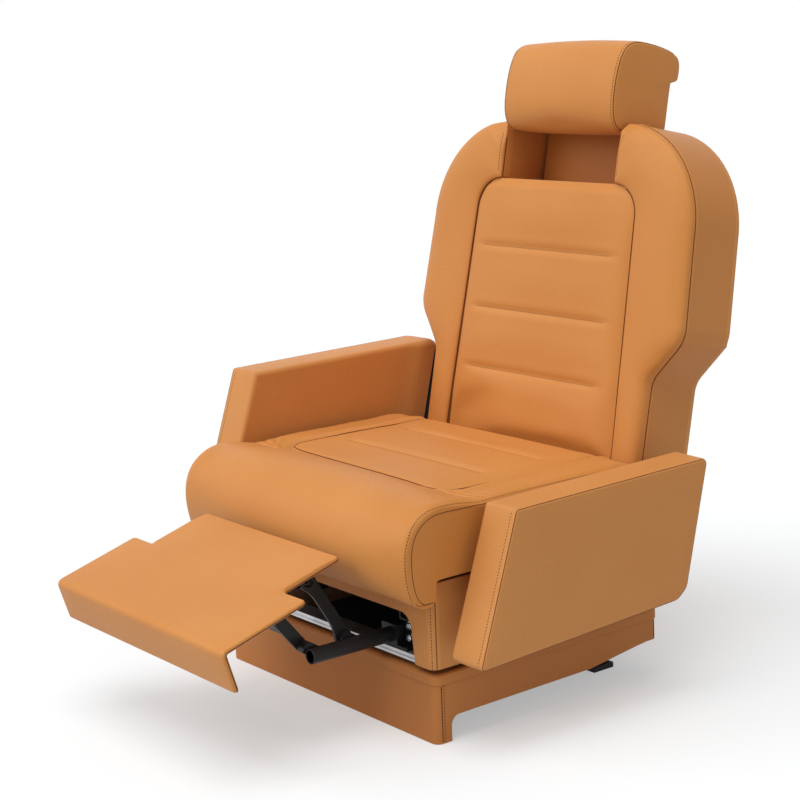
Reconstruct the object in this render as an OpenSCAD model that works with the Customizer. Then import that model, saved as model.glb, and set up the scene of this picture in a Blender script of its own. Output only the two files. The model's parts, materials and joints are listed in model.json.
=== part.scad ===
// Leather-covered swivelling recliner seat with a fold-out leg rest.
// Millimetres. X is to the viewer's right from the front, the front faces -Y, Z is up.
// The origin is on the floor under the middle of the plinth, on the swivel axis.

/* [Plinth] */
// Width of the plinth
plinth_w = 510; // [470:5:560]
// Depth of the plinth, front to back
plinth_d = 430; // [420:5:480]
// Height of the plinth's side boards
skirt_h = 84; // [78:1:110]
// Thickness of the plinth's side boards with their leather
skirt_t = 8; // [6:1:14]
// Thickness of the leather-covered top plate
plate_t = 17; // [14:1:24]
// Plan radius of the plinth's corners
plinth_r = 12; // [6:1:20]
// Length of the front foot seen from the side
foot_l = 27; // [20:1:60]
// Height of the lower edge of the side boards behind the foot
side_lift = 36; // [20:1:45]
// Height of the lower edge at the back
rear_lift = 52; // [46:1:60]

/* [Swivel and tracks] */
// Radius of the turntable disc
disc_r = 138; // [130:1:150]
// Bore radius of the fixed bearing ring
bearing_r = 120; // [112:1:124]
// Running clearance of the bearing
bearing_gap = 0.05; // [0.03:0.01:0.1]
// Travel of the seat each way, front to back
fore_aft_travel = 50; // [20:5:50]
// Spacing of the floor bolts across
bolt_dx = 350; // [330:5:370]
// Spacing of the floor bolts front to back
bolt_dy = 320; // [280:5:340]
// Radius of a floor bolt hole
bolt_r = 4.5; // [3:0.5:6]

/* [Seat box] */
// Outer width of the leather box under the cushion
box_w = 524; // [500:2:530]
// Front face of that box, in front of the swivel axis
box_front = 222; // [215:1:230]
// Rear face of that box, behind the swivel axis
box_rear = 205; // [195:1:215]
// Height of the box's lower edge
box_z = 110; // [108:1:118]
// Thickness of the box's panels
box_t = 6; // [4:1:6]
// Height of the top of its rear panel, below the back's swing
box_rear_top = 200; // [180:5:205]
// Width of the panel left on each side of the opening for the leg rest
mouth_post = 46; // [38:1:60]
// Height of the top of that opening
mouth_top = 180; // [174:1:195]
// Corner radius of that opening
mouth_r = 24; // [10:1:40]

/* [Seat cushion] */
// Overhang of the cushion beyond the box on each side
cushion_over = 10; // [6:1:11]
// Height of the cushion's flat underside
cushion_z = 240.3; // [240.3:0.1:243]
// Height of the crest of the front roll
cushion_top = 343; // [330:1:355]
// How far the front roll reaches in front of the swivel axis
cushion_front = 275; // [260:1:285]
// Lower edge of the front roll
roll_z = 205; // [198:1:212]
// Half width of the sewn-in seat insert
seat_insert_half = 206; // [190:1:210]

/* [Back] */
// Angle of the upright back from the vertical
recline_rest = 11.2; // [8:0.1:16]
// Where the back's front plane meets the seat, behind the swivel axis
back_y = 184.7; // [182:0.1:192]
// Height of that place
back_z = 340; // [335:1:350]
// Height of the back above it, along the back
back_h = 483; // [460:1:520]
// Depth of the back
back_d = 113; // [108:1:120]
// Clearance between the back's hips and the side plates
hip_gap = 6.7; // [6.7:0.1:12]
// Half width of the back at the shoulders
shoulder_half = 297; // [285:1:305]
// Radius of the shoulders' outline
shoulder_r = 158; // [120:1:165]
// Half width of the headrest slot
slot_half = 128; // [124:1:134]
// Depth of the headrest slot below the top of the back
slot_depth = 91; // [90:1:100]
// Thickness of the back's casing
shell_t = 7; // [5:1:7]
// Distance of the recline axis behind the back's front plane
pivot_n = 60; // [56:1:64]
// Distance of the recline axis below the place where back and seat meet
pivot_drop = 40; // [36:1:44]
// Radius of the recline pins
pivot_r = 8; // [6:0.5:10]

/* [Headrest] */
// Clearance between the headrest and the slot on each side
head_gap = 5; // [4:1:20]
// How far the raised headrest still stands in the slot
head_overlap = 13; // [9:1:15]
// Height of the headrest
head_h = 146; // [130:1:155]
// How far the headrest slides down
head_travel = 74; // [50:1:74]

/* [Arms] */
// Gap between the box and an arm
arm_gap = 32; // [30:1:45]
// Thickness of an arm
arm_t = 66; // [60:1:66]
// Height of the top of a lowered arm
arm_top = 340; // [330:1:350]
// How much an arm's top rises from front to rear
arm_rise = 7; // [0:1:10]
// Height of the bottom of a lowered arm at its front
arm_bottom = 133; // [128:1:140]
// Front end of a lowered arm's top
arm_front = 151; // [140:1:165]
// Rear end of a lowered arm's top
arm_rear = 212; // [200:1:225]
// Lean of the arms' front edge and slides from the vertical
arm_lean = 18.6; // [10:0.1:22]
// Travel of an arm along its slide
arm_travel = 104; // [60:1:104]

/* [Leg rest] */
// How much wider than the opening the leg-rest panel is on each side
rest_over = 4; // [0:1:8]
// Clearance of its neck between the rail brackets on each side
neck_gap = 1; // [1:1:20]
// Length of the panel from the fold to the rear edge
rest_l = 237; // [220:1:240]
// Length of the wide part
rest_wide_l = 139; // [120:1:160]
// Length of the folded-down lip
lip_l = 63; // [40:1:75]
// Thickness of the panel
rest_t = 7; // [5:0.5:9]
// Slope of the deployed panel
rest_slope = 16.7; // [12:0.1:20]
// Distance of the slide tubes from the subframe rails, middle to middle
tube_inset = 28; // [26:1:32]
// Outer radius of the slide tubes
tube_r = 11; // [9:0.5:12]
// Height of the slide tubes
tube_z = 134; // [133:0.5:135]

/* [Hidden] */
$fn = 48;

leather = [0.82, 0.56, 0.33];
leather_dark = [0.66, 0.42, 0.24];
black_steel = [0.09, 0.09, 0.10];
grey_steel = [0.45, 0.46, 0.48];
alloy = [0.78, 0.79, 0.80];
zinc = [0.70, 0.71, 0.72];

// Clearance between soft or leather-covered faces and what they lie on
seat_gap = 0.3;
// Running clearance of small pins
pin_gap = 0.05;
// Clearance each side of a slide
slide_gap = 0.3;

// Heights of the stacked base
plate_z = skirt_h;
deck_z = plate_z + plate_t;
disc_top = deck_z + 2.5;
disc_t = 17.7;
disc_z = disc_top - disc_t;
ring_top = disc_z - seat_gap;
ring_h = 26;
ring_z = ring_top - ring_h;
ring_wall = 18;
flange_r = bearing_r + 45;
flange_h = 6;
cross_h = 12;
cross_w = 20;
cross_y = bearing_r + 21;
rail_z = ring_z - cross_h;
foot_h = 8;
floor_rail_x = bolt_dx / 2 - 25;
floor_rail_w = 30;
floor_rail_l = plinth_d - 2 * skirt_t;
cross_half = plinth_w / 2 - skirt_t;
hub_r = bearing_r - bearing_gap;
hub_wall = 20;
retainer_h = 6;
retainer_r = bearing_r + 8;

// Fore-and-aft track in the disc
track_x = 80;
track_w = 18;
track_foot_w = 26;
track_depth = 12;
track_foot_h = 5;
runner_half = 40;
carriage_t = 3.4;
carriage_z = disc_top + seat_gap;
carriage_top = carriage_z + carriage_t;

// Cross rails under the seat
rail_front_y = -197;
rail_rear_y = 165;
rail_w = 30;
rail_h = 10;
rail_bottom = carriage_top + seat_gap;
rail_top = rail_bottom + rail_h;
rail_slot_w = 18;
rail_slot_h = 6;
rail_half = box_w / 2 - box_t - 26;
shoe_half = 70;
carriage_half = 100;

// Seat frame
side_out = box_w / 2 - box_t - seat_gap;
side_t = 5;
side_in = side_out - side_t;
side_hole_z = 180;
side_hole_y = [-115, -45, 25, 95];
pan_hole_x = [-150, -75, 0, 75, 150];
pan_hole_y = [-120, -40, 40, 120];
pan_t = 4;
pan_rear = 165;
side_top = cushion_z - seat_gap - pan_t;
subframe_x = box_w / 2 - 84;
subframe_w = 20;
subframe_h = 25;
subframe_z = rail_top + 42;
crosstube_r = 12.5;
crosstube_z = subframe_z + subframe_h + crosstube_r;
crosstube_front_y = -150;
crosstube_rear_y = 140;
box_top = cushion_z - 1.3;
bracket_w = 22;
tube_x = subframe_x - tube_inset;
guide_w = 2 * (subframe_x - bracket_w / 2 - tube_x);
hanger_w = 2 * (subframe_x - subframe_w / 2 - tube_x);
guide_l = 26;
mouth_half = box_w / 2 - mouth_post;
cushion_w = box_w + 2 * cushion_over;
seat_channels = [-37, 76];

// Recline axis in the room, from its place on the back
pivot_y = back_y - pivot_drop * sin(recline_rest) + pivot_n * cos(recline_rest);
pivot_z = back_z - pivot_drop * cos(recline_rest) - pivot_n * sin(recline_rest);

// Back
hip_half = side_in - hip_gap;
slot_s = back_h - slot_depth;
back_channels = [86, 183, 283];
seam_n = 17;
casing_front = seam_n;
rear_t = 10;
back_foot = -80;
waist_r = 40;
armpit_r = 50;
armpit_s = 190;
armpit_lean = 40;
armpit_x = shoulder_half - armpit_r;
line_x = armpit_x + armpit_r * cos(armpit_lean);
line_s = armpit_s - armpit_r * sin(armpit_lean);
waist_s = line_s - (line_x - hip_half) / tan(armpit_lean);
waist_l = waist_r * tan(armpit_lean / 2);
insert_top_half = 179;
insert_bottom_half = 192;
insert_foot = -58;
insert_r = 50;
insert_back_n = 31.5;
mat_n = 32;
mat_t = 4;
mat_s0 = -40;
mat_l = slot_s - 7 - mat_s0;
mat_tabs = [20, 120, 220, 320];
upright_r = 10;
upright_x = hip_half - shell_t - 4.7 - upright_r;
mat_half = upright_x - 52.3;
upright_s0 = -20;
upright_s1 = 365;
ear_t = 4.4;
mast_n = 86;
mast_t = 6;
mast_s0 = 290;
mast_half = slot_half - 8;
head_half = slot_half - head_gap;
head_s0 = back_h - head_overlap;
head_s1 = head_s0 + head_h;
head_drop = 10;

// Arms
arm_in = box_w / 2 + arm_gap;
arm_out = arm_in + arm_t;
slide_dir = [0, sin(arm_lean), cos(arm_lean)];
bar_t = 5;
bar_x = arm_in - 15;
bar_w = 30;
spacer_w = 18;
slide_z0 = 140;
slide_z1 = 322;
spacer_z1 = 236;
slide_bolts = [slide_z0 + 25, slide_z0 + 70];
slide_mid_y = 5;
slide_mid_z = 236;
carriage_l = 78;
buffer_l = 112;
buffer_t = 3;
rear_lean = 13.8;
lip_x = arm_in - 19.5;

rest_half = mouth_half + rest_over;
neck_half = subframe_x - bracket_w / 2 - neck_gap;

// Leg rest: fold line of the deployed panel and the pivots of its four-bar linkage
fold_y = -529;
fold_z = 201;
tube_y0 = -343;
tube_y1 = 95;
tube_wall = 2;
front_low = [-344, 144];
rear_low = [-280, 144];
front_up = [-405, 219];
rear_up = [-334, 233];
link_t = 5;
link_pin_r = 4;
pin_head_t = 3;
open_pivot_gap = 3.2;
bracket_t = 5;
// Planes of the linkage, from the tubes inwards: rear links, pin heads, front links, brackets
lug_x = tube_x - tube_r - 1;
pin_end = lug_x + 2.5;
rear_link_x = lug_x - seat_gap - link_t;
front_link_x = rear_link_x - 2 * seat_gap - pin_head_t - link_t;
bracket_x = front_link_x - seat_gap - bracket_t;

// Point on the arms' slide line at height z, in the plane through the slides
function slide_y(z) = slide_mid_y + (z - slide_mid_z) * tan(arm_lean);
// Points of an arc, from angle a0 to angle a1
function arc(cx, cy, r, a0, a1, n) =
    [for (i = [0:n]) [cx + r * cos(a0 + (a1 - a0) * i / n), cy + r * sin(a0 + (a1 - a0) * i / n)]];
// Flattens a list of lists
function flat(l) = [for (a = l) for (b = a) b];
// Position between two values
function mix(a, b, t) = a + (b - a) * t;
// Rises from 0 to 1 between a and b
function smooth(a, b, x) = let (t = max(0, min(1, (x - a) / (b - a)))) t * t * (3 - 2 * t);
// One sewn channel: 1 in its middle, 0 beyond its width
function groove(x, at, width) = exp(-pow((x - at) / width, 2));

// Rounded rectangle, centred
module rounded(w, d, r) {
    offset(r = r) square([w - 2 * r, d - 2 * r], center = true);
}

// Extrudes a profile drawn in Y and Z along X
module along_x(x0, x1) {
    translate([x0, 0, 0]) rotate([90, 0, 90]) linear_extrude(x1 - x0) children();
}

// Mirrors what is drawn for the right side to the left
module to_left() {
    mirror([1, 0, 0]) children();
}

// Places what is drawn on the back: X across, Y into the back, Z up along it
module on_back() {
    translate([0, back_y, back_z]) rotate([-recline_rest, 0, 0]) children();
}

// Extrudes an outline drawn across and up the back between two depths
module slab(n0, n1) {
    translate([0, n1, 0]) rotate([90, 0, 0]) linear_extrude(n1 - n0) children();
}

// A rod along X
module rod_x(x0, x1, y, z, r) {
    translate([x0, y, z]) rotate([0, 90, 0]) cylinder(h = x1 - x0, r = r);
}

// Mean of a ring's points
function middle(ring) = [for (p = ring) 1 / len(ring)] * ring;

// A closed skin over rings of points, with flat ends that fan out from a point each
module skin(rings, from = undef, to = undef) {
    n = len(rings);
    m = len(rings[0]);
    first = is_undef(from) ? middle(rings[0]) : from;
    last = is_undef(to) ? middle(rings[n - 1]) : to;
    pts = concat(flat(rings), [first, last]);
    sides = [for (i = [0:n - 2]) for (j = [0:m - 1]) let (k = (j + 1) % m)
        each [[i * m + j, i * m + k, (i + 1) * m + k], [i * m + j, (i + 1) * m + k, (i + 1) * m + j]]];
    ends = [for (j = [0:m - 1]) let (k = (j + 1) % m)
        each [[k, j, n * m], [(n - 1) * m + j, (n - 1) * m + k, n * m + 1]]];
    polyhedron(points = pts, faces = concat(sides, ends), convexity = 6);
}

// Plinth and its frame

module floor_rails() {
    color(black_steel) for (side = [-1, 1]) difference() {
        union() {
            translate([side * floor_rail_x - floor_rail_w / 2, -floor_rail_l / 2, 0])
                cube([floor_rail_w, floor_rail_l, rail_z]);
            for (end = [-1, 1]) translate([side * bolt_dx / 2 - 20, end * bolt_dy / 2 - 20, 0])
                cube([40, 40, foot_h]);
        }
        for (end = [-1, 1]) translate([side * bolt_dx / 2, end * bolt_dy / 2, -1])
            cylinder(h = foot_h + 2, r = bolt_r);
        translate([side * floor_rail_x - floor_rail_w / 2 + 4, -floor_rail_l / 2 - 1, foot_h + 4])
            cube([floor_rail_w - 8, floor_rail_l + 2, rail_z - foot_h - 8]);
    }
}

module floor_cross() {
    color(black_steel) for (end = [-1, 1])
        translate([-cross_half, end * cross_y - cross_w / 2, rail_z])
            cube([2 * cross_half, cross_w, cross_h]);
}

module bearing_ring() {
    color(grey_steel) translate([0, 0, ring_z]) rotate_extrude($fn = 96) polygon([
        [bearing_r, 0], [flange_r, 0], [flange_r, flange_h], [bearing_r + ring_wall, flange_h],
        [bearing_r + ring_wall, ring_h], [bearing_r, ring_h]]);
}

// Lower edge of the side boards: front foot, arch and the step up at the back
module skirt_cut() {
    y0 = -plinth_d / 2 + foot_l;
    y1 = plinth_d / 2;
    r = 14;
    polygon(concat(
        [[y0, -1]], arc(y0 + r, side_lift - r, r, 180, 90, 8),
        [[0.35 * y1, side_lift + 2], [0.8 * y1, rear_lift - 2], [0.9 * y1, rear_lift]],
        [[y1 + 1, rear_lift], [y1 + 1, -1]]));
}

module skirt() {
    difference() {
        linear_extrude(skirt_h) difference() {
            rounded(plinth_w, plinth_d, plinth_r);
            square([plinth_w - 2 * skirt_t, plinth_d - 2 * skirt_t], center = true);
        }
        along_x(-plinth_w / 2 - 1, plinth_w / 2 + 1) skirt_cut();
    }
}

module skirt_part(x0, x1, y0, y1) {
    color(leather_dark) intersection() {
        skirt();
        translate([x0, y0, -1]) cube([x1 - x0, y1 - y0, skirt_h + 2]);
    }
}

module plinth_front() {
    skirt_part(-plinth_w, plinth_w, -plinth_d, -plinth_d / 2 + skirt_t);
}

module plinth_side_right() {
    skirt_part(plinth_w / 2 - skirt_t, plinth_w, -plinth_d / 2 + skirt_t, plinth_d / 2 - skirt_t);
}

module plinth_side_left() {
    to_left() plinth_side_right();
}

module plinth_rear() {
    skirt_part(-plinth_w, plinth_w, plinth_d / 2 - skirt_t, plinth_d);
}

module plinth_plate() {
    lip = 1.5;
    bevel = 3;
    color(leather) translate([0, 0, plate_z]) difference() {
        union() {
            linear_extrude(plate_t - bevel) rounded(plinth_w + 2 * lip, plinth_d + 2 * lip, plinth_r + lip);
            hull() {
                translate([0, 0, plate_t - bevel]) linear_extrude(0.1)
                    rounded(plinth_w + 2 * lip, plinth_d + 2 * lip, plinth_r + lip);
                translate([0, 0, plate_t - 0.1]) linear_extrude(0.1)
                    rounded(plinth_w + 2 * lip - 2 * bevel, plinth_d + 2 * lip - 2 * bevel, plinth_r);
            }
        }
        translate([0, 0, -1]) cylinder(h = plate_t + 2, r = disc_r + 6, $fn = 96);
    }
}

// Swivel, fore-and-aft track and cross track

module track_profile(gap) {
    translate([-track_w / 2 - gap, -track_depth - gap, 0])
        square([track_w + 2 * gap, track_depth + 1 + gap]);
    translate([-track_foot_w / 2 - gap, -track_depth - gap, 0])
        square([track_foot_w + 2 * gap, track_foot_h + 2 * gap]);
}

module turntable_disc() {
    color(grey_steel) difference() {
        union() {
            translate([0, 0, disc_z]) cylinder(h = disc_t, r = disc_r, $fn = 96);
            translate([0, 0, ring_z - seat_gap]) difference() {
                cylinder(h = ring_h + 2 * seat_gap + 1, r = hub_r, $fn = 96);
                translate([0, 0, -1]) cylinder(h = ring_h + 3, r = hub_r - hub_wall, $fn = 96);
            }
        }
        for (side = [-1, 1]) translate([side * track_x, disc_r + 1, disc_top])
            rotate([90, 0, 0]) linear_extrude(2 * disc_r + 2) track_profile(slide_gap);
    }
}

module swivel_retainer() {
    color(zinc) translate([0, 0, ring_z - seat_gap - retainer_h]) difference() {
        cylinder(h = retainer_h, r = retainer_r, $fn = 96);
        translate([0, 0, -1]) cylinder(h = retainer_h + 2, r = hub_r - hub_wall, $fn = 96);
    }
}

module carriage_plate() {
    y0 = rail_front_y - 9;
    y1 = rail_rear_y + 16;
    color(black_steel) {
        translate([-carriage_half, y0, carriage_z]) cube([2 * carriage_half, y1 - y0, carriage_t]);
        for (side = [-1, 1]) translate([side * track_x, runner_half, disc_top]) rotate([90, 0, 0])
            linear_extrude(2 * runner_half) track_profile(0);
    }
}

module cross_shoes() {
    color(black_steel) for (y = [rail_front_y, rail_rear_y])
        translate([-shoe_half, y - rail_slot_w / 2 + slide_gap, carriage_top])
            cube([2 * shoe_half, rail_slot_w - 2 * slide_gap, rail_slot_h]);
}

module cross_rail(y) {
    color(alloy) translate([0, y, rail_bottom]) along_x(-rail_half, rail_half) difference() {
        translate([-rail_w / 2, 0]) square([rail_w, rail_h]);
        translate([-rail_slot_w / 2, -1]) square([rail_slot_w, rail_slot_h + 1]);
        for (side = [-1, 1]) translate([side * rail_w / 2, rail_h / 2]) circle(r = 1.2);
    }
}

module cross_rail_front() {
    cross_rail(rail_front_y);
}

module cross_rail_rear() {
    cross_rail(rail_rear_y);
}

// Seat frame

module rail_brackets() {
    w = bracket_w;
    foot = 26;
    t = 4;
    color(black_steel) for (side = [-1, 1]) for (y = [rail_front_y, rail_rear_y])
        translate([side * subframe_x - w / 2, y, rail_top]) difference() {
            union() {
                translate([0, -foot / 2, 0]) cube([w, foot, t]);
                translate([0, 3, 0]) cube([w, t + 2, subframe_z - rail_top]);
            }
            for (z = [0.35, 0.75]) translate([w / 2, 0, z * (subframe_z - rail_top)])
                rotate([-90, 0, 0]) cylinder(h = foot, r = 3);
        }
}

module subframe_right() {
    y0 = -box_front + 17;
    y1 = rail_rear_y + 16;
    wall = 2.5;
    color(black_steel) translate([subframe_x, y1, subframe_z]) rotate([90, 0, 0])
        linear_extrude(y1 - y0) difference() {
            translate([-subframe_w / 2, 0]) square([subframe_w, subframe_h]);
            translate([-subframe_w / 2 + wall, wall])
                square([subframe_w - 2 * wall, subframe_h - 2 * wall]);
        }
}

module subframe_left() {
    to_left() subframe_right();
}

module seat_crosstubes() {
    color(black_steel) for (y = [crosstube_front_y, crosstube_rear_y]) difference() {
        rod_x(-side_in, side_in, y, crosstube_z, crosstube_r);
        rod_x(-side_in - 1, side_in + 1, y, crosstube_z, crosstube_r - 2);
    }
}

// Outline of the side plates, with the ear that carries the recline pin
module side_outline() {
    ear_r = 24;
    front = -box_front + 15;
    side_rear = box_rear - box_t - seat_gap;
    ear_low = [pivot_y - 44, box_rear_top + 4 + ear_r];
    ear = [pivot_y, pivot_z] - ear_low;
    difference() {
        union() {
            polygon([[front + 12, 150], [front, 165], [front, side_top], [pan_rear + 6, side_top],
                [pivot_y, pivot_z], [pivot_y + 12, pivot_z - 10], [side_rear, box_rear_top + 6],
                [side_rear, 165], [side_rear - 12, 150]]);
            translate([pivot_y, pivot_z]) circle(r = ear_r);
            translate(ear_low) circle(r = ear_r);
            translate(ear_low) rotate(atan2(ear[1], ear[0])) translate([0, -ear_r])
                square([norm(ear), 2 * ear_r]);
        }
        for (y = side_hole_y) translate([y, side_hole_z]) circle(r = 18);
        translate([pivot_y, pivot_z]) circle(r = pivot_r + pin_gap);
    }
}

module side_plate_right() {
    color(black_steel) along_x(side_in, side_out) side_outline();
}

module side_plate_left() {
    to_left() side_plate_right();
}

module seat_pan() {
    front = -box_front + 15;
    color(grey_steel) difference() {
        translate([-side_out, front, side_top]) cube([2 * side_out, pan_rear - front, pan_t]);
        for (x = pan_hole_x) for (y = pan_hole_y)
            translate([x, y, side_top - 1]) cylinder(h = pan_t + 2, r = 14);
    }
}

// Leather-covered box under the cushion, cut into its four panels
module seat_box() {
    mid = (box_rear - box_front) / 2;
    depth = box_front + box_rear;
    difference() {
        translate([0, mid, box_z]) linear_extrude(box_top - box_z) difference() {
            rounded(box_w, depth, 14);
            square([box_w - 2 * box_t, depth - 2 * box_t], center = true);
        }
        translate([0, -box_front + box_t + 14, box_z - 1]) rotate([90, 0, 0])
            linear_extrude(box_t + 16) mouth_outline();
    }
}

// Opening for the leg rest, drawn from 1 mm below the box
module mouth_outline() {
    h = mouth_top - box_z + 1;
    polygon(concat([[mouth_half + 5, 0]], arc(mouth_half - mouth_r, h - mouth_r, mouth_r, 0, 90, 8),
        arc(-mouth_half + mouth_r, h - mouth_r, mouth_r, 90, 180, 8), [[-mouth_half - 5, 0]]));
}

module box_part(x0, x1, y0, y1, top = 400) {
    color(leather) intersection() {
        seat_box();
        translate([x0, y0, 0]) cube([x1 - x0, y1 - y0, top]);
    }
}

module box_front() {
    box_part(-box_w, box_w, -box_front - 10, -box_front + box_t);
}

module box_right() {
    box_part(box_w / 2 - box_t, box_w, -box_front + box_t, box_rear - box_t);
}

module box_left() {
    to_left() box_right();
}

module box_rear() {
    box_part(-box_w, box_w, box_rear - box_t, box_rear + 10, box_rear_top);
}

// Profile of the cushion from the rear underside, forward, over the roll and back
function cushion_profile(in) = let (
    gap = seat_gap,
    inner = -box_front - gap - 0.5,
    top = cushion_top,
    f = -cushion_front) concat(
    [[165, cushion_z], [60, cushion_z], [-80, cushion_z], [inner, cushion_z], [inner, roll_z + 8]],
    [[inner - 6, roll_z], [f + 22, roll_z], [f + 8, roll_z + 8], [f + 2, roll_z + 28]],
    [[f, roll_z + 60], [f + 1, top - 50], [f + 7, top - 24], [f + 22, top - 7], [f + 46, top]],
    [[f + 80, top - 1], [-170, top - 4], [-144, top - 8 - 4 * in]],
    [for (y = [-126:12:126]) [y, top - 9 - 3 * smooth(60, 140, y)
        - 5 * in * (groove(y, seat_channels[0], 7) + groove(y, seat_channels[1], 7))]],
    [[148, top - 12], [162, top - 15], [170, top - 21], [173, top - 34], [169, cushion_z + 26]]);

// The profile at one place across the cushion: rounded at the sides, crowned in the middle
function cushion_ring(x) = let (
    half = cushion_w / 2,
    edge = 22,
    t = max(0, (abs(x) - half + edge) / edge),
    inset = 16 * (1 - sqrt(max(0, 1 - t * t))),
    in = 1 - smooth(seat_insert_half - 8, seat_insert_half + 8, abs(x)),
    crown = 3 * (1 - pow(x / half, 2)))
    [for (p = cushion_profile(in)) let (
        up = smooth(cushion_z, cushion_top, p[1]),
        forward = smooth(-200, -cushion_front, p[0]))
        [x, p[0] + inset * forward - 4 * (1 - crown / 3) * forward,
            p[1] - inset * up + crown * up - 3 * groove(abs(x), seat_insert_half, 6) * up]];

module seat_cushion() {
    half = cushion_w / 2;
    edges = [22, 15, 9, 4, 1, 0];
    left = [for (e = [0, 1, 4, 9, 15, 22]) -half + e];
    seam = seat_insert_half;
    inner = [-160, -110, -55, 0, 55, 110, 160];
    mid = concat([for (e = [24, 9, 0, -9]) -seam - e], inner, [for (e = [-9, 0, 9, 24]) seam + e]);
    right = [for (e = edges) half - e];
    hub = [-cushion_front + 35, cushion_z + 25];
    color(leather) skin([for (x = concat(left, mid, right)) cushion_ring(x)],
        [-half, hub[0], hub[1]], [half, hub[0], hub[1]]);
}

// Guides for the leg rest's slide tubes: the front pair stands on the rail, the rear pair hangs
module tube_guides() {
    rear_y = rail_front_y + 72;
    color(black_steel) for (side = [-1, 1]) for (g = [
            [rail_front_y, rail_top, tube_z + tube_r + 5, guide_w],
            [rear_y, tube_z - tube_r - 5, subframe_z + 12, hanger_w]])
        difference() {
            translate([side * tube_x - g[3] / 2, g[0] - guide_l / 2, g[1]])
                cube([g[3], guide_l, g[2] - g[1]]);
            translate([side * tube_x, g[0] - guide_l, tube_z]) rotate([-90, 0, 0])
                cylinder(h = 2 * guide_l, r = tube_r + pin_gap);
        }
}

// Arms and their slides

// A bar along the arm slides between two heights, w wide, from x0 to x1
module slide_bar(x0, x1, w, z0, z1) {
    l = (z1 - z0) / cos(arm_lean);
    translate([x0, slide_y(z0), z0]) rotate([-arm_lean, 0, 0])
        translate([0, -w / 2, 0]) cube([x1 - x0, w, l]);
}

module arm_slide_right() {
    color(black_steel) difference() {
        union() {
            slide_bar(bar_x, bar_x + bar_t, bar_w, slide_z0, slide_z1);
            slide_bar(box_w / 2, bar_x + 1, spacer_w, slide_z0, spacer_z1);
        }
        for (z = slide_bolts) rod_x(0, arm_in, slide_y(z), z, 3);
    }
}

module arm_slide_left() {
    to_left() arm_slide_right();
}

module arm_carriage() {
    z0 = arm_bottom + 9;
    z1 = z0 + carriage_l * cos(arm_lean);
    w = bar_w + 2 * slide_gap + 8;
    color(black_steel) difference() {
        slide_bar(lip_x, arm_in, w, z0, z1);
        slide_bar(bar_x - slide_gap, bar_x + bar_t + slide_gap, bar_w + 2 * slide_gap, z0 - 20, z1 + 20);
        slide_bar(lip_x - 1, bar_x, spacer_w + 2, z0 - 20, z1 + 20);
    }
    color(black_steel) arm_buffer();
}

// Dark buffer strip on an arm's inner face, standing out behind its rear edge beside the back
module arm_buffer() {
    z1 = arm_top + arm_rise - 12;
    z0 = z1 - buffer_l;
    y1 = arm_rear - 1;
    y0 = y1 - buffer_l * tan(rear_lean);
    along_x(arm_in - buffer_t, arm_in)
        polygon([[y0 - 16, z0], [y0 + 9, z0], [y1 + 9, z1], [y1 - 16, z1]]);
}

// Side view of a lowered arm
module arm_outline() {
    low_front = -arm_front - (arm_top - arm_bottom) * tan(arm_lean);
    low_rear = arm_rear - (arm_top - arm_bottom - 15) * tan(rear_lean);
    r = 30;
    offset(r = 3) offset(delta = -3) polygon(concat(
        [[low_front, arm_bottom], [-arm_front, arm_top], [arm_rear - 12, arm_top + arm_rise]],
        [[arm_rear, arm_top + arm_rise - 8]],
        arc(low_rear - r + 4, arm_bottom + 15 + r, r, -10, -86, 8)));
}

module arm_panel() {
    edge = 3;
    color(leather) hull() {
        along_x(arm_in + edge, arm_out - edge) arm_outline();
        along_x(arm_in, arm_out) offset(delta = -edge) arm_outline();
    }
}

module arm_panel_right() {
    arm_panel();
}

module arm_carriage_right() {
    arm_carriage();
}

module arm_panel_left() {
    translate(arm_travel * slide_dir) to_left() arm_panel();
}

module arm_carriage_left() {
    translate(arm_travel * slide_dir) to_left() arm_carriage();
}

// Back

// Outline of the back seen from the front, without the headrest slot
module back_outline() {
    c = shoulder_half - 7 - shoulder_r;
    offset(r = -waist_r) offset(delta = waist_r) union() {
        hull() for (side = [-1, 1]) {
            translate([side * c, back_h - shoulder_r]) circle(r = shoulder_r, $fn = 72);
            translate([side * armpit_x, armpit_s]) circle(r = armpit_r);
        }
        translate([-hip_half, back_foot]) square([2 * hip_half, 240]);
        polygon([[-hip_half, waist_s - 40], [hip_half, waist_s - 40], [hip_half, waist_s],
            [line_x, line_s], [armpit_x, armpit_s], [-armpit_x, armpit_s], [-line_x, line_s],
            [-hip_half, waist_s]]);
    }
}

module slot_outline(grow) {
    translate([-slot_half - grow, slot_s - grow]) square([2 * (slot_half + grow), back_h]);
}

module back_rear_panel() {
    color(leather) on_back() slab(back_d - rear_t, back_d) back_outline();
}

// One half of the casing: outer wall, slot wall and slot floor
module back_casing_right() {
    color(leather) on_back() difference() {
        slab(casing_front, back_d - rear_t) intersection() {
            difference() {
                back_outline();
                slot_outline(0);
                difference() {
                    offset(delta = -shell_t) back_outline();
                    slot_outline(shell_t);
                }
            }
            translate([0, -200]) square([400, 900]);
        }
        rod_x(0, 400, pivot_n, -pivot_drop, pivot_r + 1);
        translate([-1, 0, slot_s - 3 * shell_t])
            cube([insert_top_half + 5, insert_back_n + seat_gap, 3 * shell_t + seat_gap]);
        translate([-1, mast_n - 3, slot_s - 2 * shell_t])
            cube([slot_half - 1, back_d, 2 * shell_t + seat_gap]);
    }
}

module back_casing_left() {
    to_left() back_casing_right();
}

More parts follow.
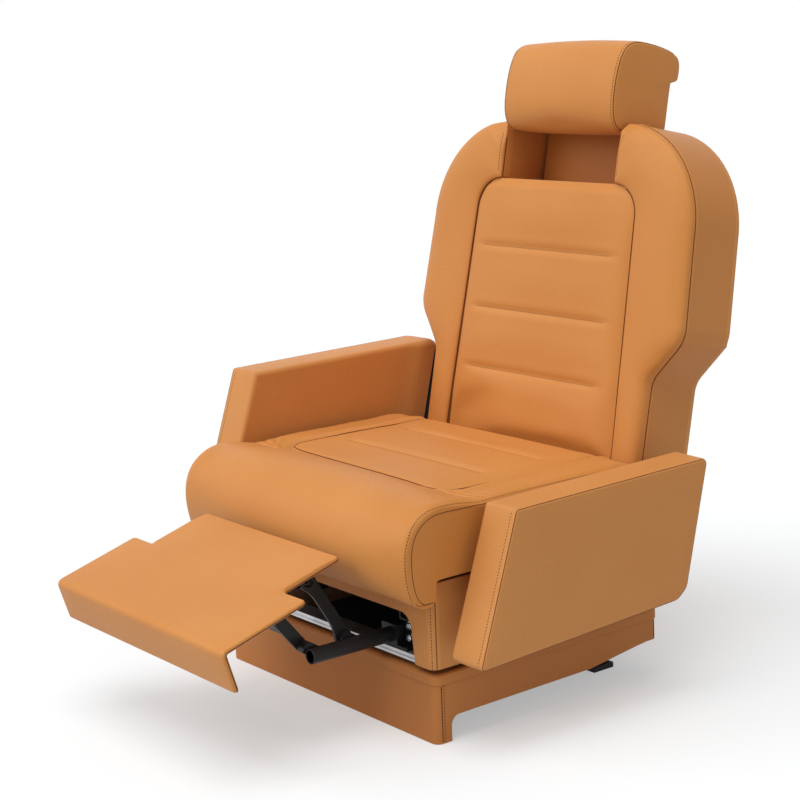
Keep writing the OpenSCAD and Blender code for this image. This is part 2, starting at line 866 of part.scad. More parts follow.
module back_upright_right() {
    color(black_steel) on_back() {
        translate([upright_x, pivot_n, upright_s0]) difference() {
            cylinder(h = upright_s1 - upright_s0, r = upright_r);
            translate([0, 0, -1]) cylinder(h = upright_s1 - upright_s0 + 2, r = upright_r - 2);
        }
        difference() {
            along_x(upright_x + upright_r - 0.4, upright_x + upright_r + ear_t) hull() {
                translate([pivot_n, -pivot_drop]) circle(r = 20);
                translate([pivot_n, 60]) circle(r = 10);
            }
            rod_x(0, 400, pivot_n, -pivot_drop, pivot_r + pin_gap);
        }
    }
}

module back_upright_left() {
    to_left() back_upright_right();
}

module back_cross_tubes() {
    half = upright_x - upright_r;
    color(black_steel) on_back() for (s = [10, 355]) difference() {
        rod_x(-half, half, pivot_n, s, upright_r);
        rod_x(-half - 1, half + 1, pivot_n, s, upright_r - 2);
    }
}

// Suspension mat behind the insert, with its tabs on the uprights
module back_mat() {
    color(grey_steel) on_back() {
        translate([-mat_half, mat_n, mat_s0]) cube([2 * mat_half, mat_t, mat_l]);
        for (s = mat_tabs) translate([-upright_x, mat_n, s - 12])
            cube([2 * upright_x, mat_t, 24]);
        for (side = [-1, 1]) for (s = mat_tabs)
            translate([side * upright_x - 4, mat_n + mat_t - 0.1, s - 12])
                cube([8, pivot_n - upright_r - mat_n - mat_t, 24]);
    }
}

module recline_pins() {
    color(zinc) on_back() for (side = [-1, 1]) mirror([side < 0 ? 1 : 0, 0, 0]) {
        rod_x(upright_x + upright_r - 5, side_out + seat_gap, pivot_n, -pivot_drop, pivot_r);
        rod_x(upright_x + upright_r - 9, upright_x + upright_r - 0.7, pivot_n, -pivot_drop, pivot_r + 4);
        rod_x(side_out + seat_gap, side_out + 4, pivot_n, -pivot_drop, pivot_r + 4);
    }
}

// Half width of the insert at height s
function insert_half(s) =
    let (w = mix(insert_bottom_half, insert_top_half, max(0, min(1, s / (slot_s - insert_r)))))
    let (d = max(0, s - (slot_s - insert_r)))
    w - insert_r + sqrt(max(0, insert_r * insert_r - d * d));

// Depth of the insert's face at x, s: crowned, with three sewn channels
function insert_face(x, s) =
    let (w = insert_half(s), e = pow(abs(x) / w, 4))
    let (ends = smooth(insert_foot, insert_foot + 30, s) * (1 - smooth(slot_s - 14, slot_s, s)))
    let (c = back_channels, sewn = groove(s, c[0], 6) + groove(s, c[1], 6) + groove(s, c[2], 6))
    mix(12, -2, (1 - e) * (0.25 + 0.75 * ends)) + 5 * sewn * (1 - smooth(125, 150, abs(x)));

module back_insert() {
    rows = concat([for (i = [0:34]) mix(insert_foot, slot_s - 34, i / 34)],
        [for (d = [26, 18, 11, 5, 1]) slot_s - d]);
    cols = [-1, -0.97, -0.9, -0.8, -0.7, -0.45, -0.15, 0.15, 0.45, 0.7, 0.8, 0.9, 0.97, 1];
    color(leather) on_back() skin([for (s = rows) let (w = insert_half(s)) concat(
        [for (c = cols) [c * w, insert_face(c * w, s), s]],
        [[w, insert_back_n, s], [-w, insert_back_n, s]])]);
}

// Outer edge of the right bolster at station t: up the hip, round the shoulder to the slot
function hip_edge(s) =
    s < waist_s - waist_l ? hip_half :
    s < waist_s + waist_l * cos(armpit_lean) ?
        hip_half + waist_r - sqrt(pow(waist_r, 2) - pow(s - waist_s + waist_l, 2)) :
    s < line_s ? line_x - (line_s - s) * tan(armpit_lean) :
    s < armpit_s ? armpit_x + sqrt(pow(armpit_r, 2) - pow(armpit_s - s, 2)) :
    mix(shoulder_half, shoulder_half - 7, (s - armpit_s) / (back_h - shoulder_r - armpit_s));

// Section of a bolster from its inner edge p to its outer edge q, crowned between them.
// Its rear lies on the casing's rim and fills the hollow between rim and insert.
function bolster_ring(p, q) = let (
    l = norm(q - p),
    rim = min(0.45, 15 / l),
    deep = mix(seam_n - seat_gap, insert_back_n,
        p[1] < back_foot + shell_t + 1 ? 0 : smooth(36, 70, l)),
    full = smooth(back_foot - 2, back_foot + 36, p[1]),
    inner = mix(p, q, rim),
    outer = mix(q, p, rim)) concat(
    [for (a = [0:15:180]) let (t = (1 - cos(a)) / 2)
        [mix(p[0], q[0], t), mix(mix(12, seam_n - 1, t), -3, full * pow(max(0, sin(a)), 0.7)), mix(p[1], q[1], t)]],
    [[q[0], seam_n - seat_gap, q[1]], [outer[0], seam_n - seat_gap, outer[1]]],
    [[outer[0], deep, outer[1]], [inner[0], deep, inner[1]]],
    [[inner[0], seam_n - seat_gap, inner[1]], [p[0], seam_n - seat_gap, p[1]]]);

module back_bolster_right() {
    c = shoulder_half - 7 - shoulder_r;
    top = back_h - shoulder_r;
    foot = [for (d = [2, 7.9, 16, 30, 45]) back_foot + d];
    straight = [for (s = concat(foot, [20, 60, 80, 93, 101, 109, 118, 130, 145, 158, 168, 178, 190, 240, 285, top]))
        bolster_ring([insert_half(s) + 0.5, s], [hip_edge(s) - 0.3, s])];
    wall = slot_half + 0.5;
    inner = [[15, insert_half(slot_s - 47) + 2, slot_s - 47], [30, insert_half(slot_s - 24) + 2, slot_s - 23],
        [45, insert_half(slot_s - 8) + 2, slot_s - 6], [60, wall, slot_s + 9], [72, wall, back_h - 51],
        [82, wall, back_h - 28], [88.5, wall, back_h - 13]];
    turn = [for (i = inner) bolster_ring([i[1], i[2]],
        [c + (shoulder_r - 0.3) * cos(i[0]), top + (shoulder_r - 0.3) * sin(i[0])])];
    color(leather) on_back() skin(concat(straight, turn));
}

module back_bolster_left() {
    to_left() back_bolster_right();
}

// Channels that guide the edges of the headrest's mast
module mast_guides() {
    s0 = 250;
    w = 10;
    d = back_d - rear_t - mast_n + 3;
    color(black_steel) on_back() for (side = [-1, 1]) difference() {
        translate([side * mast_half - w / 2, back_d - rear_t - d, s0]) cube([w, d, slot_s - shell_t - s0]);
        translate([side * (mast_half - w) - w, mast_n - slide_gap, s0 - 1])
            cube([2 * w + slide_gap, mast_t + 2 * slide_gap, slot_s]);
    }
}

// Headrest

module headrest_mast() {
    color(leather_dark) on_back() translate([-mast_half + w_mast(), mast_n, mast_s0])
        cube([2 * (mast_half - w_mast()), mast_t, head_s1 - 20 - mast_s0]);
}
function w_mast() = 0.3;

// A soft block: rounded all round and crowned on its faces
function pillow_ring(a, c, h, e, drop) = [for (t = [0:15:345]) let (
    x = sign(cos(t)) * pow(abs(cos(t)), e) * pow(cos(a), e))
    [x * h[0] + c[0], sign(sin(t)) * pow(abs(sin(t)), e) * h[1] * pow(cos(a), e) + c[1],
        sign(a) * pow(abs(sin(a)), e) * h[2] + c[2] - drop * max(0, sin(a)) * x * x]];

module headrest_cushion() {
    front = -16;
    rear = mast_n - seat_gap;
    c = [0, (front + rear) / 2, (head_s0 + head_s1) / 2];
    h = [head_half, (rear - front) / 2, (head_s1 - head_s0) / 2];
    levels = [-89.9, -84, -72, -58, -44, -30, -15, 0.01, 15, 30, 44, 58, 72, 84, 89.9];
    color(leather) on_back() skin([for (a = levels) pillow_ring(a, c, h, 0.22, head_drop)]);
}

// Rear cover of the headrest, with the lip that hooks over the top of the back
module headrest_cover() {
    n0 = mast_n + mast_t + seat_gap;
    n1 = back_d - rear_t - 1.5;
    lip_n = back_d + 4;
    lip_s = head_s1 - 56;
    color(leather) on_back() translate([-head_half + 4, 0, 0]) rotate([90, 0, 90])
        linear_extrude(2 * head_half - 8) polygon(concat(
            [[n0, head_s0], [n1, head_s0 + 4], [n1, lip_s + 4], [n1 + 4, lip_s]],
            [[lip_n - 4, lip_s], [lip_n, lip_s + 5]],
            arc(lip_n - 16, head_s1 - 32, 16, 0, 80, 6),
            [[n0, head_s1 - 14]]));
}

// Leg rest

module legrest_tube_right() {
    color(black_steel) translate([tube_x, tube_y0, tube_z]) rotate([-90, 0, 0]) difference() {
        cylinder(h = tube_y1 - tube_y0, r = tube_r);
        translate([0, 0, -1]) cylinder(h = tube_y1 - tube_y0 + 2, r = tube_r - tube_wall);
    }
}

module legrest_tube_left() {
    to_left() legrest_tube_right();
}

module tube_end_caps() {
    color([0.2, 0.2, 0.22]) for (side = [-1, 1]) translate([side * tube_x, tube_y0, tube_z])
        rotate([90, 0, 0]) {
            cylinder(h = 2.5, r = tube_r - 0.3);
            translate([0, 0, -12]) cylinder(h = 12.1, r = tube_r - tube_wall);
        }
}

// Lugs on the tubes' inner sides that carry the links' lower pins
module tube_lugs() {
    color(black_steel) for (side = [-1, 1]) mirror([side < 0 ? 1 : 0, 0, 0]) {
        lug(front_low, front_link_x + link_t + seat_gap);
        lug(rear_low, lug_x);
    }
}

module lug(p, x0) {
    difference() {
        along_x(x0, tube_x - 4) hull() {
            translate(p) circle(r = 9);
            translate([p[0] + 14, tube_z + 2]) circle(r = 8);
        }
        translate([tube_x, tube_y0 - 20, tube_z]) rotate([-90, 0, 0]) cylinder(h = 200, r = tube_r);
        rod_x(0, pin_end, p[0], p[1], link_pin_r);
    }
}

module lower_link_pins() {
    color(zinc) for (side = [-1, 1]) mirror([side < 0 ? 1 : 0, 0, 0]) {
        headed_pin(front_low, front_link_x);
        headed_pin(rear_low, rear_link_x);
    }
}

// Pin through the link that starts at x, with its head on the link's inner face
module headed_pin(p, x) {
    rod_x(x - seat_gap, pin_end, p[0], p[1], link_pin_r);
    rod_x(x - seat_gap - pin_head_t, x - seat_gap, p[0], p[1], link_pin_r + 3);
}

module tube_tie() {
    half = tube_x - tube_r;
    color(black_steel) rod_x(-half, half, tube_y1 - 15, tube_z, 6);
}

// A link between two pivots: flat bar with round ends and a bore at each
module link(x, p, q, low_r, up_r, up_bore) {
    difference() {
        along_x(x, x + link_t) hull() {
            translate(p) circle(r = low_r);
            translate(q) circle(r = up_r);
        }
        rod_x(x - 1, x + link_t + 1, p[0], p[1], link_pin_r + pin_gap);
        rod_x(x - 1, x + link_t + 1, q[0], q[1], up_bore);
    }
}

module front_links() {
    color(black_steel) for (side = [-1, 1]) mirror([side < 0 ? 1 : 0, 0, 0])
        link(front_link_x, front_low, front_up, 9, 9, link_pin_r + pin_gap);
}

// Flat bar that ties the two front links together near their lower ends
module front_link_tie() {
    a = atan2(front_up[1] - front_low[1], front_up[0] - front_low[0]);
    at = front_low + 0.27 * (front_up - front_low);
    color(black_steel) translate([-front_link_x, at[0], at[1]]) rotate([a, 0, 0])
        translate([0, -9, -2]) cube([2 * front_link_x, 18, 4]);
}

// Rear links: wide curved plates, with the loose upper hole that opens the linkage
module rear_links() {
    lean = atan2(rear_up[1] - rear_low[1], rear_up[0] - rear_low[0]);
    reach = norm(rear_up - rear_low);
    color(black_steel) for (side = [-1, 1]) mirror([side < 0 ? 1 : 0, 0, 0]) difference() {
        along_x(rear_link_x, rear_link_x + link_t) translate(rear_low) rotate(lean)
            offset(r = -60) offset(delta = 60) union() {
                circle(r = 13);
                translate([reach, 0]) circle(r = 12);
                translate([reach / 2, -3]) square([reach, 17], center = true);
            }
        rod_x(rear_link_x - 1, rear_link_x + link_t + 1, rear_low[0], rear_low[1],
            link_pin_r + pin_gap);
        rod_x(rear_link_x - 1, rear_link_x + link_t + 1, rear_up[0], rear_up[1],
            link_pin_r + open_pivot_gap);
    }
}

// Places what is drawn on the panel: origin on the fold, Y rearwards along its upper face
module on_panel() {
    translate([0, fold_y, fold_z]) rotate([rest_slope, 0, 0]) children();
}

module legrest_panel() {
    r = 5;
    color(leather) on_panel() {
        along_x(-rest_half, rest_half) offset(r = 2) offset(delta = -2) polygon(concat(
            [[rest_wide_l, 0]], arc(r, -r, r, 90, 180, 6),
            [[0, -lip_l], [rest_t, -lip_l]],
            [[rest_t, -rest_t], [rest_wide_l, -rest_t]]));
        translate([0, rest_wide_l - 30, -rest_t]) linear_extrude(rest_t)
            offset(r = 6) offset(delta = -6)
                translate([-neck_half, 0]) square([2 * neck_half, rest_l - rest_wide_l + 30]);
    }
}

// Brackets under the panel with the upper pins of the links
module panel_brackets() {
    a = rest_slope;
    under = [for (p = [front_up, rear_up]) let (dy = p[0] - fold_y, dz = p[1] - fold_z)
        [dy * cos(a) + dz * sin(a), -dy * sin(a) + dz * cos(a)]];
    for (side = [-1, 1]) mirror([side < 0 ? 1 : 0, 0, 0]) {
        color(black_steel) on_panel() {
            along_x(bracket_x, bracket_x + bracket_t) hull() for (u = under) {
                translate(u) circle(r = 8);
                translate([u[0] - 12, -rest_t - 1]) square([24, 1]);
            }
            translate([bracket_x - 22, under[0][0] - 12, -rest_t - 2])
                cube([22.5, under[1][0] - under[0][0] + 24, 2]);
        }
        color(zinc) {
            upper_pin(front_up, front_link_x);
            upper_pin(rear_up, rear_link_x);
        }
    }
}

// Pin from the bracket through the link that starts at x, with a retaining ring beyond it
module upper_pin(p, x) {
    rod_x(bracket_x + 1, x + link_t + 1.6, p[0], p[1], link_pin_r);
}

floor_rails();
floor_cross();
bearing_ring();
plinth_front();
plinth_side_left();
plinth_side_right();
plinth_rear();
plinth_plate();
turntable_disc();
swivel_retainer();
carriage_plate();
cross_shoes();
cross_rail_front();
cross_rail_rear();
rail_brackets();
subframe_left();
subframe_right();
seat_crosstubes();
side_plate_left();
side_plate_right();
seat_pan();
box_front();
box_left();
box_right();
box_rear();
seat_cushion();
tube_guides();
arm_slide_left();
arm_slide_right();
back_upright_left();
back_upright_right();
back_cross_tubes();
back_mat();
recline_pins();
back_rear_panel();
back_casing_left();
back_casing_right();
back_bolster_left();
back_bolster_right();
back_insert();
mast_guides();
headrest_mast();
headrest_cushion();
headrest_cover();
arm_panel_left();
arm_carriage_left();
arm_panel_right();
arm_carriage_right();
legrest_tube_left();
legrest_tube_right();
tube_end_caps();
tube_lugs();
lower_link_pins();
tube_tie();
front_links();
front_link_tie();
rear_links();
legrest_panel();
panel_brackets();
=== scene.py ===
"""Looks of the leather swivel recliner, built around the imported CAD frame.

Shapes are written in millimetres in the frame's axes (X to the viewer's right, front towards -Y, Z up)
and turned into metres when a mesh is made.
"""

import json
import math

import bmesh
import bpy
import numpy as np
from mathutils import Matrix, Vector
from mathutils.bvhtree import BVHTree

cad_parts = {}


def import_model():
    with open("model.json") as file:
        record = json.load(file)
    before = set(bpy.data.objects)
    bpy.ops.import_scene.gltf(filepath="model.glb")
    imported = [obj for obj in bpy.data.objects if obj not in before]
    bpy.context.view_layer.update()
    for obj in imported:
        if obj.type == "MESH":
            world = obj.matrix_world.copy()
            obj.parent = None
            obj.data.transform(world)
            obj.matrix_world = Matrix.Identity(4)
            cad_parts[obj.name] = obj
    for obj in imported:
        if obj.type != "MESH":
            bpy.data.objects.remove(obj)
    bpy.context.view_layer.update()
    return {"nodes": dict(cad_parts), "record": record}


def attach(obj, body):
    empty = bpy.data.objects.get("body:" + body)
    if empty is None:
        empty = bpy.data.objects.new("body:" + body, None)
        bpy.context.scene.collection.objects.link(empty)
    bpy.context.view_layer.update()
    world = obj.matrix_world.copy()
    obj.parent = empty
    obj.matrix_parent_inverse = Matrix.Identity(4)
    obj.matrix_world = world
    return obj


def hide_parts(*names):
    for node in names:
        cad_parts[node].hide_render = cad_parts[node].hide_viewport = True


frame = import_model()
NODES = frame["nodes"]
BODY = {n: b for b, names in frame["record"]["behaviour"]["bodies"].items() for n in names}
MM = 0.001

# ---- measures of the CAD source, in mm

RECLINE = math.radians(11.2)
BACK_Y, BACK_Z = 184.7, 340.0
BACK_H, BACK_D, BACK_FOOT = 483.0, 113.0, -80.0
HIP_HALF, SHOULDER_HALF, SHOULDER_R = 244.0, 297.0, 158.0
ARMPIT_S, ARMPIT_R, ARMPIT_LEAN, WAIST_R = 190.0, 50.0, math.radians(40), 40.0
ARMPIT_X = SHOULDER_HALF - ARMPIT_R
LINE_X, LINE_S = ARMPIT_X + ARMPIT_R * math.cos(ARMPIT_LEAN), ARMPIT_S - ARMPIT_R * math.sin(ARMPIT_LEAN)
WAIST_S = LINE_S - (LINE_X - HIP_HALF) / math.tan(ARMPIT_LEAN)
WAIST_L = WAIST_R * math.tan(ARMPIT_LEAN / 2)
SLOT_HALF, SLOT_S = 128.0, 392.0
SEAM_N, VALLEY_N, INSERT_N, INSERT_BACK_N, BOLSTER_N = 17.0, 6.5, -3.0, 31.5, -4.0
INSERT_TOP, INSERT_BOTTOM, INSERT_FOOT, INSERT_R = 179.0, 192.0, -58.0, 50.0
BACK_CHANNELS = (86.0, 183.0, 283.0)
CUSHION_HALF, CUSHION_Z = 272.0, 240.3
SIDE_X = CUSHION_HALF + 2.0
SEAT_INSERT, SEAT_TOP = 206.0, 336.0
SEAT_CHANNELS = (-37.0, 76.0)
SEAT_CROWN, INSERT_CROWN, ROLL_CROWN = 4.0, 2.0, 3.0
HEAD_HALF = 123.0
ARM_IN, ARM_OUT = 294.0, 360.0
ARM_LEAN = math.radians(18.6)
ARM_TRAVEL = 104.0
ARM_CORNERS = [(-220.7, 133.2), (-151.3, 339.8), (206, 346.8), (212, 341), (168.5, 163), (150, 149.5)]
ARM_REAR_SLOPE = 0.2444
FOLD_Y, FOLD_Z, REST_SLOPE = -529.0, 201.0, math.radians(16.7)
REST_HALF, NECK_HALF, REST_L, REST_WIDE, LIP = 220.0, 166.0, 237.0, 139.0, 63.0
REST_T, FOLD_R, RIM_R, RIM_SEAM, REST_UPPER, REST_PUFF = 7.0, 9.0, 2.6, -4.4, -1.5, 2.0
PLINTH_NODES = ("plinth_front", "plinth_side_left", "plinth_side_right", "plinth_rear", "plinth_plate")
SIDE_NAME = {-1: "left", 1: "right"}


def smooth(a, b, x):
    """0 before a and 1 past b, with an eased way between."""
    t = np.clip((np.asarray(x, float) - a) / (b - a), 0, 1)
    return t * t * (3 - 2 * t)


def bell(x, at, width):
    """1 at one place, falling off on both sides."""
    return np.exp(-(((np.asarray(x, float) - at) / width) ** 2))


def unit(v):
    """Rows of vectors brought to length 1."""
    return v / np.maximum(np.linalg.norm(v, axis=-1, keepdims=True), 1e-9)


def leaned(x, u, v, angle, y0, z0):
    """Room position of a point across, rearwards and up in a frame that leans back by an angle."""
    c, k = math.cos(angle), math.sin(angle)
    x, u, v = np.broadcast_arrays(*(np.asarray(w, float) for w in (x, u, v)))
    return np.stack([x, y0 + u * c + v * k, z0 - u * k + v * c], -1)


def on_back(x, n, s):
    """Room position of a point across, into and up the back."""
    return leaned(x, n, s, RECLINE, BACK_Y, BACK_Z)


def mirrored(half, middle=()):
    """A row of (x, s) points from the left to the right, from those of the right half."""
    return [(-x, s) for x, s in half] + [*middle] + half[::-1]


# ---- materials


class Look:
    """A node material under construction."""

    def __init__(self, name):
        self.mat = bpy.data.materials.new(name)
        self.mat.use_nodes = True
        self.tree = self.mat.node_tree
        self.bsdf = self.tree.nodes["Principled BSDF"]
        self.coord = self.add("ShaderNodeTexCoord").outputs["Object"]

    def add(self, kind, **values):
        """A node with the given inputs or properties."""
        node = self.tree.nodes.new(kind)
        for key, value in values.items():
            if key in node.inputs:
                node.inputs[key].default_value = value
            else:
                setattr(node, key, value)
        return node

    def link(self, a, b):
        self.tree.links.new(a, b)

    def noise(self, scale, detail=2.0, rough=0.5, stretch=None):
        node = self.add("ShaderNodeTexNoise", Scale=scale, Detail=detail, Roughness=rough)
        source = self.coord
        if stretch:
            mapping = self.add("ShaderNodeMapping", Scale=stretch)
            self.link(source, mapping.inputs["Vector"])
            source = mapping.outputs["Vector"]
        self.link(source, node.inputs["Vector"])
        return node.outputs["Fac"]

    def range(self, value, a, b, c=0.0, d=1.0):
        node = self.add("ShaderNodeMapRange")
        for key, v in zip(("From Min", "From Max", "To Min", "To Max"), (a, b, c, d)):
            node.inputs[key].default_value = v
        self.link(value, node.inputs["Value"])
        return node.outputs["Result"]

    def mix(self, fac, a, b):
        """A blend of two colours; the colour sockets of this node are 6 and 7, and 2 for the result."""
        node = self.add("ShaderNodeMix", data_type="RGBA")
        for value, socket in ((fac, node.inputs[0]), (a, node.inputs[6]), (b, node.inputs[7])):
            if isinstance(value, (float, tuple)):
                socket.default_value = value
            else:
                self.link(value, socket)
        return node.outputs[2]

    def bump(self, height, strength, distance, below=None):
        node = self.add("ShaderNodeBump", Strength=strength, Distance=distance)
        self.link(height, node.inputs["Height"])
        if below is not None:
            self.link(below, node.inputs["Normal"])
        return node.outputs["Normal"]

    def edge_wear_and_highlight(self, colour, start, end, most, tint):
        """The colour with its convex edges turned towards a tint: rubbed wear on metal; on leather paler
        edges, partly rubbed wear and partly a painted highlight.
        """
        point = self.add("ShaderNodeNewGeometry").outputs["Pointiness"]
        return self.mix(self.range(point, start, end, 0.0, most), colour, tint)

    def set(self, **values):
        """Values or links for the shader's inputs; an underscore stands for a space in a name."""
        for key, value in values.items():
            socket = self.bsdf.inputs[key.replace("_", " ")]
            if isinstance(value, (float, int, tuple)):
                socket.default_value = value
            else:
                self.link(value, socket)


def srgb(r, g, b):
    """Linear colour of screen values from 0 to 255."""

    def one(v):
        v /= 255
        return v / 12.92 if v <= 0.04045 else ((v + 0.055) / 1.055) ** 2.4

    return (one(r), one(g), one(b), 1.0)


# the pale tan edge tint is partly rubbed wear and partly a painted highlight on leather; the grey one is
# rubbed metal
FLECK, WORN_AND_HIGHLIGHT, BARE = srgb(150, 88, 36), srgb(232, 176, 112), srgb(150, 150, 150)


def leather(name, light, dark, rough, undulation):
    """Smooth full-grain leather: cloudy colour, fine pores, soft unevenness and paler edges, partly rubbed
    wear and partly a painted highlight.
    """
    k = Look(name)
    cloud = k.range(k.noise(4.0, 2.0), 0.34, 0.66)
    fleck = k.range(k.noise(260.0, 3.0, 0.6), 0.3, 0.7)
    colour = k.mix(cloud, dark, light)
    colour = k.mix(k.range(fleck, 0.0, 1.0, 0.0, 0.08), colour, FLECK)
    # paler convex edges: partly rubbed wear, partly a painted highlight
    colour = k.edge_wear_and_highlight(colour, 0.54, 0.64, 0.2, WORN_AND_HIGHLIGHT)
    cell = k.add("ShaderNodeTexVoronoi", Scale=620.0)
    k.link(k.coord, cell.inputs["Vector"])
    pores = k.range(cell.outputs["Distance"], 0.0, 0.9)
    soft = k.bump(k.noise(14.0, 1.0), undulation, 0.0018)
    grain = k.bump(k.noise(240.0, 3.0, 0.65), 0.14, 0.0003, soft)
    grain = k.bump(pores, 0.22, 0.0002, grain)
    k.set(Base_Color=colour, Normal=grain, IOR=1.45, Specular_IOR_Level=0.26)
    k.set(Roughness=k.range(fleck, 0.0, 1.0, rough - 0.04, rough + 0.05))
    k.set(Sheen_Weight=0.03, Sheen_Roughness=0.4)
    return k.mat


def thread(name, colour, rough=0.6):
    """Twisted sewing thread, the shaded joint of two edges of leather, and the painted shade of needle holes.
    """
    k = Look(name)
    twist = k.noise(1400.0, 2.0, 0.6)
    dark = tuple(v * 0.55 for v in colour[:3]) + (1.0,)
    k.set(Base_Color=k.mix(k.range(twist, 0.35, 0.65), dark, colour))
    k.set(Roughness=rough, Normal=k.bump(twist, 0.4, 0.0002), Specular_IOR_Level=0.25)
    return k.mat


def metal(name, colour, metallic, rough, streak=None, coat=0.0, spread=0.1):
    """Metal or lacquer with fine streaks or speckle in its roughness, and rubbed edges."""
    k = Look(name)
    fine = k.noise(520.0, 3.0, 0.6, streak)
    wide = k.noise(24.0, 3.0)
    dark = tuple(v * 0.72 for v in colour[:3]) + (1.0,)
    base = k.mix(k.range(wide, 0.35, 0.65), dark, colour)
    base = k.edge_wear_and_highlight(base, 0.55, 0.68, 0.35 if metallic else 0.06, BARE)
    k.set(Base_Color=base, Metallic=float(metallic), Coat_Weight=coat, Coat_Roughness=0.25)
    k.set(Specular_IOR_Level=0.5 if metallic else 0.2)
    k.set(Roughness=k.range(fine, 0.3, 0.7, rough - spread / 2, rough + spread / 2))
    k.set(Normal=k.bump(fine, 0.12, 0.0002))
    return k.mat


TAN = leather("leather_tan", srgb(212, 142, 74), srgb(206, 135, 67), 0.46, 0.12)
# a slightly lighter copy of the tan leather for boards and arms: painted light; its flatter surface is real
TAN_BOARD_LIT = leather("leather_tan_board_lit", srgb(214, 146, 82), srgb(208, 139, 75), 0.48, 0.08)
# a slightly darker copy of the tan leather for the back's casing: painted shade
TAN_SHELL_SHADED = leather("leather_tan_shell_shaded", srgb(206, 138, 75), srgb(200, 131, 68), 0.48, 0.08)
# a darker copy of the tan leather for the mast: painted shade from the headrest above it
TAN_MAST_SHADED = leather("leather_tan_mast_shaded", srgb(184, 114, 52), srgb(174, 106, 46), 0.5, 0.3)
# a darker copy of the tan leather for the plinth: painted shade under the seat and leg rest
TAN_BASE_SHADED = leather("leather_tan_base_shaded", srgb(202, 130, 70), srgb(194, 123, 63), 0.5, 0.08)
SEAM = thread("seam_shade", srgb(102, 54, 23))
# dark brown for the needle holes: painted shade of their recesses
HOLE_SHADE = thread("needle_hole_shade", srgb(84, 44, 18), 0.7)
THREAD = thread("thread_brown", srgb(206, 140, 80))
BLACK = metal("steel_black_satin", srgb(8, 8, 9), 0.0, 0.42, coat=0.04)
STEEL = metal("steel_grey_brushed", srgb(84, 85, 88), 1.0, 0.42, (1.0, 0.05, 1.0))
ALLOY = metal("alloy_brushed", srgb(222, 224, 228), 0.85, 0.36, (0.04, 1.0, 1.0))
ZINC = metal("zinc_bright", srgb(214, 216, 220), 1.0, 0.2)
PLASTIC = metal("plastic_cap", srgb(40, 41, 44), 0.0, 0.5, spread=0.16)
RUBBER = metal("webbing_dark", srgb(40, 40, 42), 0.0, 0.75)
SLOT_LOOK = {"leather": TAN_BOARD_LIT, "black_steel": BLACK, "grey_steel": STEEL, "alloy": ALLOY,
             "zinc": ZINC, "end_cap": PLASTIC}

# ---- mesh tools


def place(name, data):
    """A new object in the scene."""
    obj = bpy.data.objects.new(name, data)
    bpy.context.scene.collection.objects.link(obj)
    return obj


def add_object(name, data, mat, body):
    """A visible piece that rides on a body."""
    obj = place(name, data)
    data.materials.clear()
    data.materials.append(mat)
    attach(obj, body)
    return obj


def mesh_of(name, verts, faces):
    """A mesh from points in mm and faces, with its faces turned outwards."""
    data = bpy.data.meshes.new(name)
    data.from_pydata([tuple(v) for v in np.asarray(verts, float) * MM], [], [tuple(f) for f in faces])
    data.update()
    bm = bmesh.new()
    bm.from_mesh(data)
    bmesh.ops.recalc_face_normals(bm, faces=bm.faces)
    bm.to_mesh(data)
    bm.free()
    return data


def shade(data, angle):
    """Smooth shading, with edges sharper than an angle in degrees kept crisp."""
    data.shade_smooth()
    data.set_sharp_from_angle(angle=math.radians(angle))


def bm_object(bm, name, mat, body, sharp):
    """A piece from a bmesh, which is freed."""
    data = bpy.data.meshes.new(name)
    bm.to_mesh(data)
    bm.free()
    shade(data, sharp)
    return add_object(name, data, mat, body)


def make(name, verts, faces, mat, body, sharp=40.0):
    """A piece from points in mm and faces."""
    data = mesh_of(name, verts, faces)
    shade(data, sharp)
    return add_object(name, data, mat, body)


def grid_faces(rows, cols):
    """Faces of a skin of rings, closed round each ring, with a flat face at each end."""
    faces = []
    for i in range(rows - 1):
        for j in range(cols):
            k = (j + 1) % cols
            faces.append((i * cols + j, i * cols + k, (i + 1) * cols + k, (i + 1) * cols + j))
    faces.append(tuple(range(cols - 1, -1, -1)))
    faces.append(tuple((rows - 1) * cols + j for j in range(cols)))
    return faces


def grid_object(name, grid, mat, body, sharp):
    """A piece from a skin of rings."""
    return make(name, grid.reshape(-1, 3), grid_faces(*grid.shape[:2]), mat, body, sharp=sharp)


def places_across(half, rim, start, count):
    """Places from the left to the right of a cushion, close together where its sides roll over."""
    right = np.concatenate([half - np.array(rim), np.linspace(half - start, 0, count)[:-1]])
    return np.concatenate([-right, [0.0], right[::-1]])


def rolled(x, half, width):
    """How far the rounding of a side has turned in at x: 0 on the flat, 1 at the side."""
    t = max(0.0, (abs(x) - half + width) / width)
    return 1 - math.sqrt(max(0.0, 1 - t * t))


def set_across(xs, rings):
    """Flat rings set at their places across."""
    xs = np.asarray(xs, float)
    return np.concatenate([np.broadcast_to(xs[:, None, None], (*rings.shape[:2], 1)), rings], -1)


def chaikin(points, times):
    """Rounds a closed polygon, or a stack of polygons with the same number of points."""
    p = np.asarray(points, float)
    for _ in range(times):
        q = np.roll(p, -1, axis=-2)
        both = np.stack([0.75 * p + 0.25 * q, 0.25 * p + 0.75 * q], -2)
        p = both.reshape(*p.shape[:-2], -1, p.shape[-1])
    return p


def resample(path, step):
    """Points at even steps along an open path."""
    path = np.asarray(path, float)
    length = np.r_[0, np.cumsum(np.linalg.norm(np.diff(path, axis=0), axis=1))]
    n = max(2, int(round(length[-1] / step)) + 1)
    at = np.linspace(0, length[-1], n)
    return np.stack([np.interp(at, length, path[:, k]) for k in range(path.shape[1])], -1)


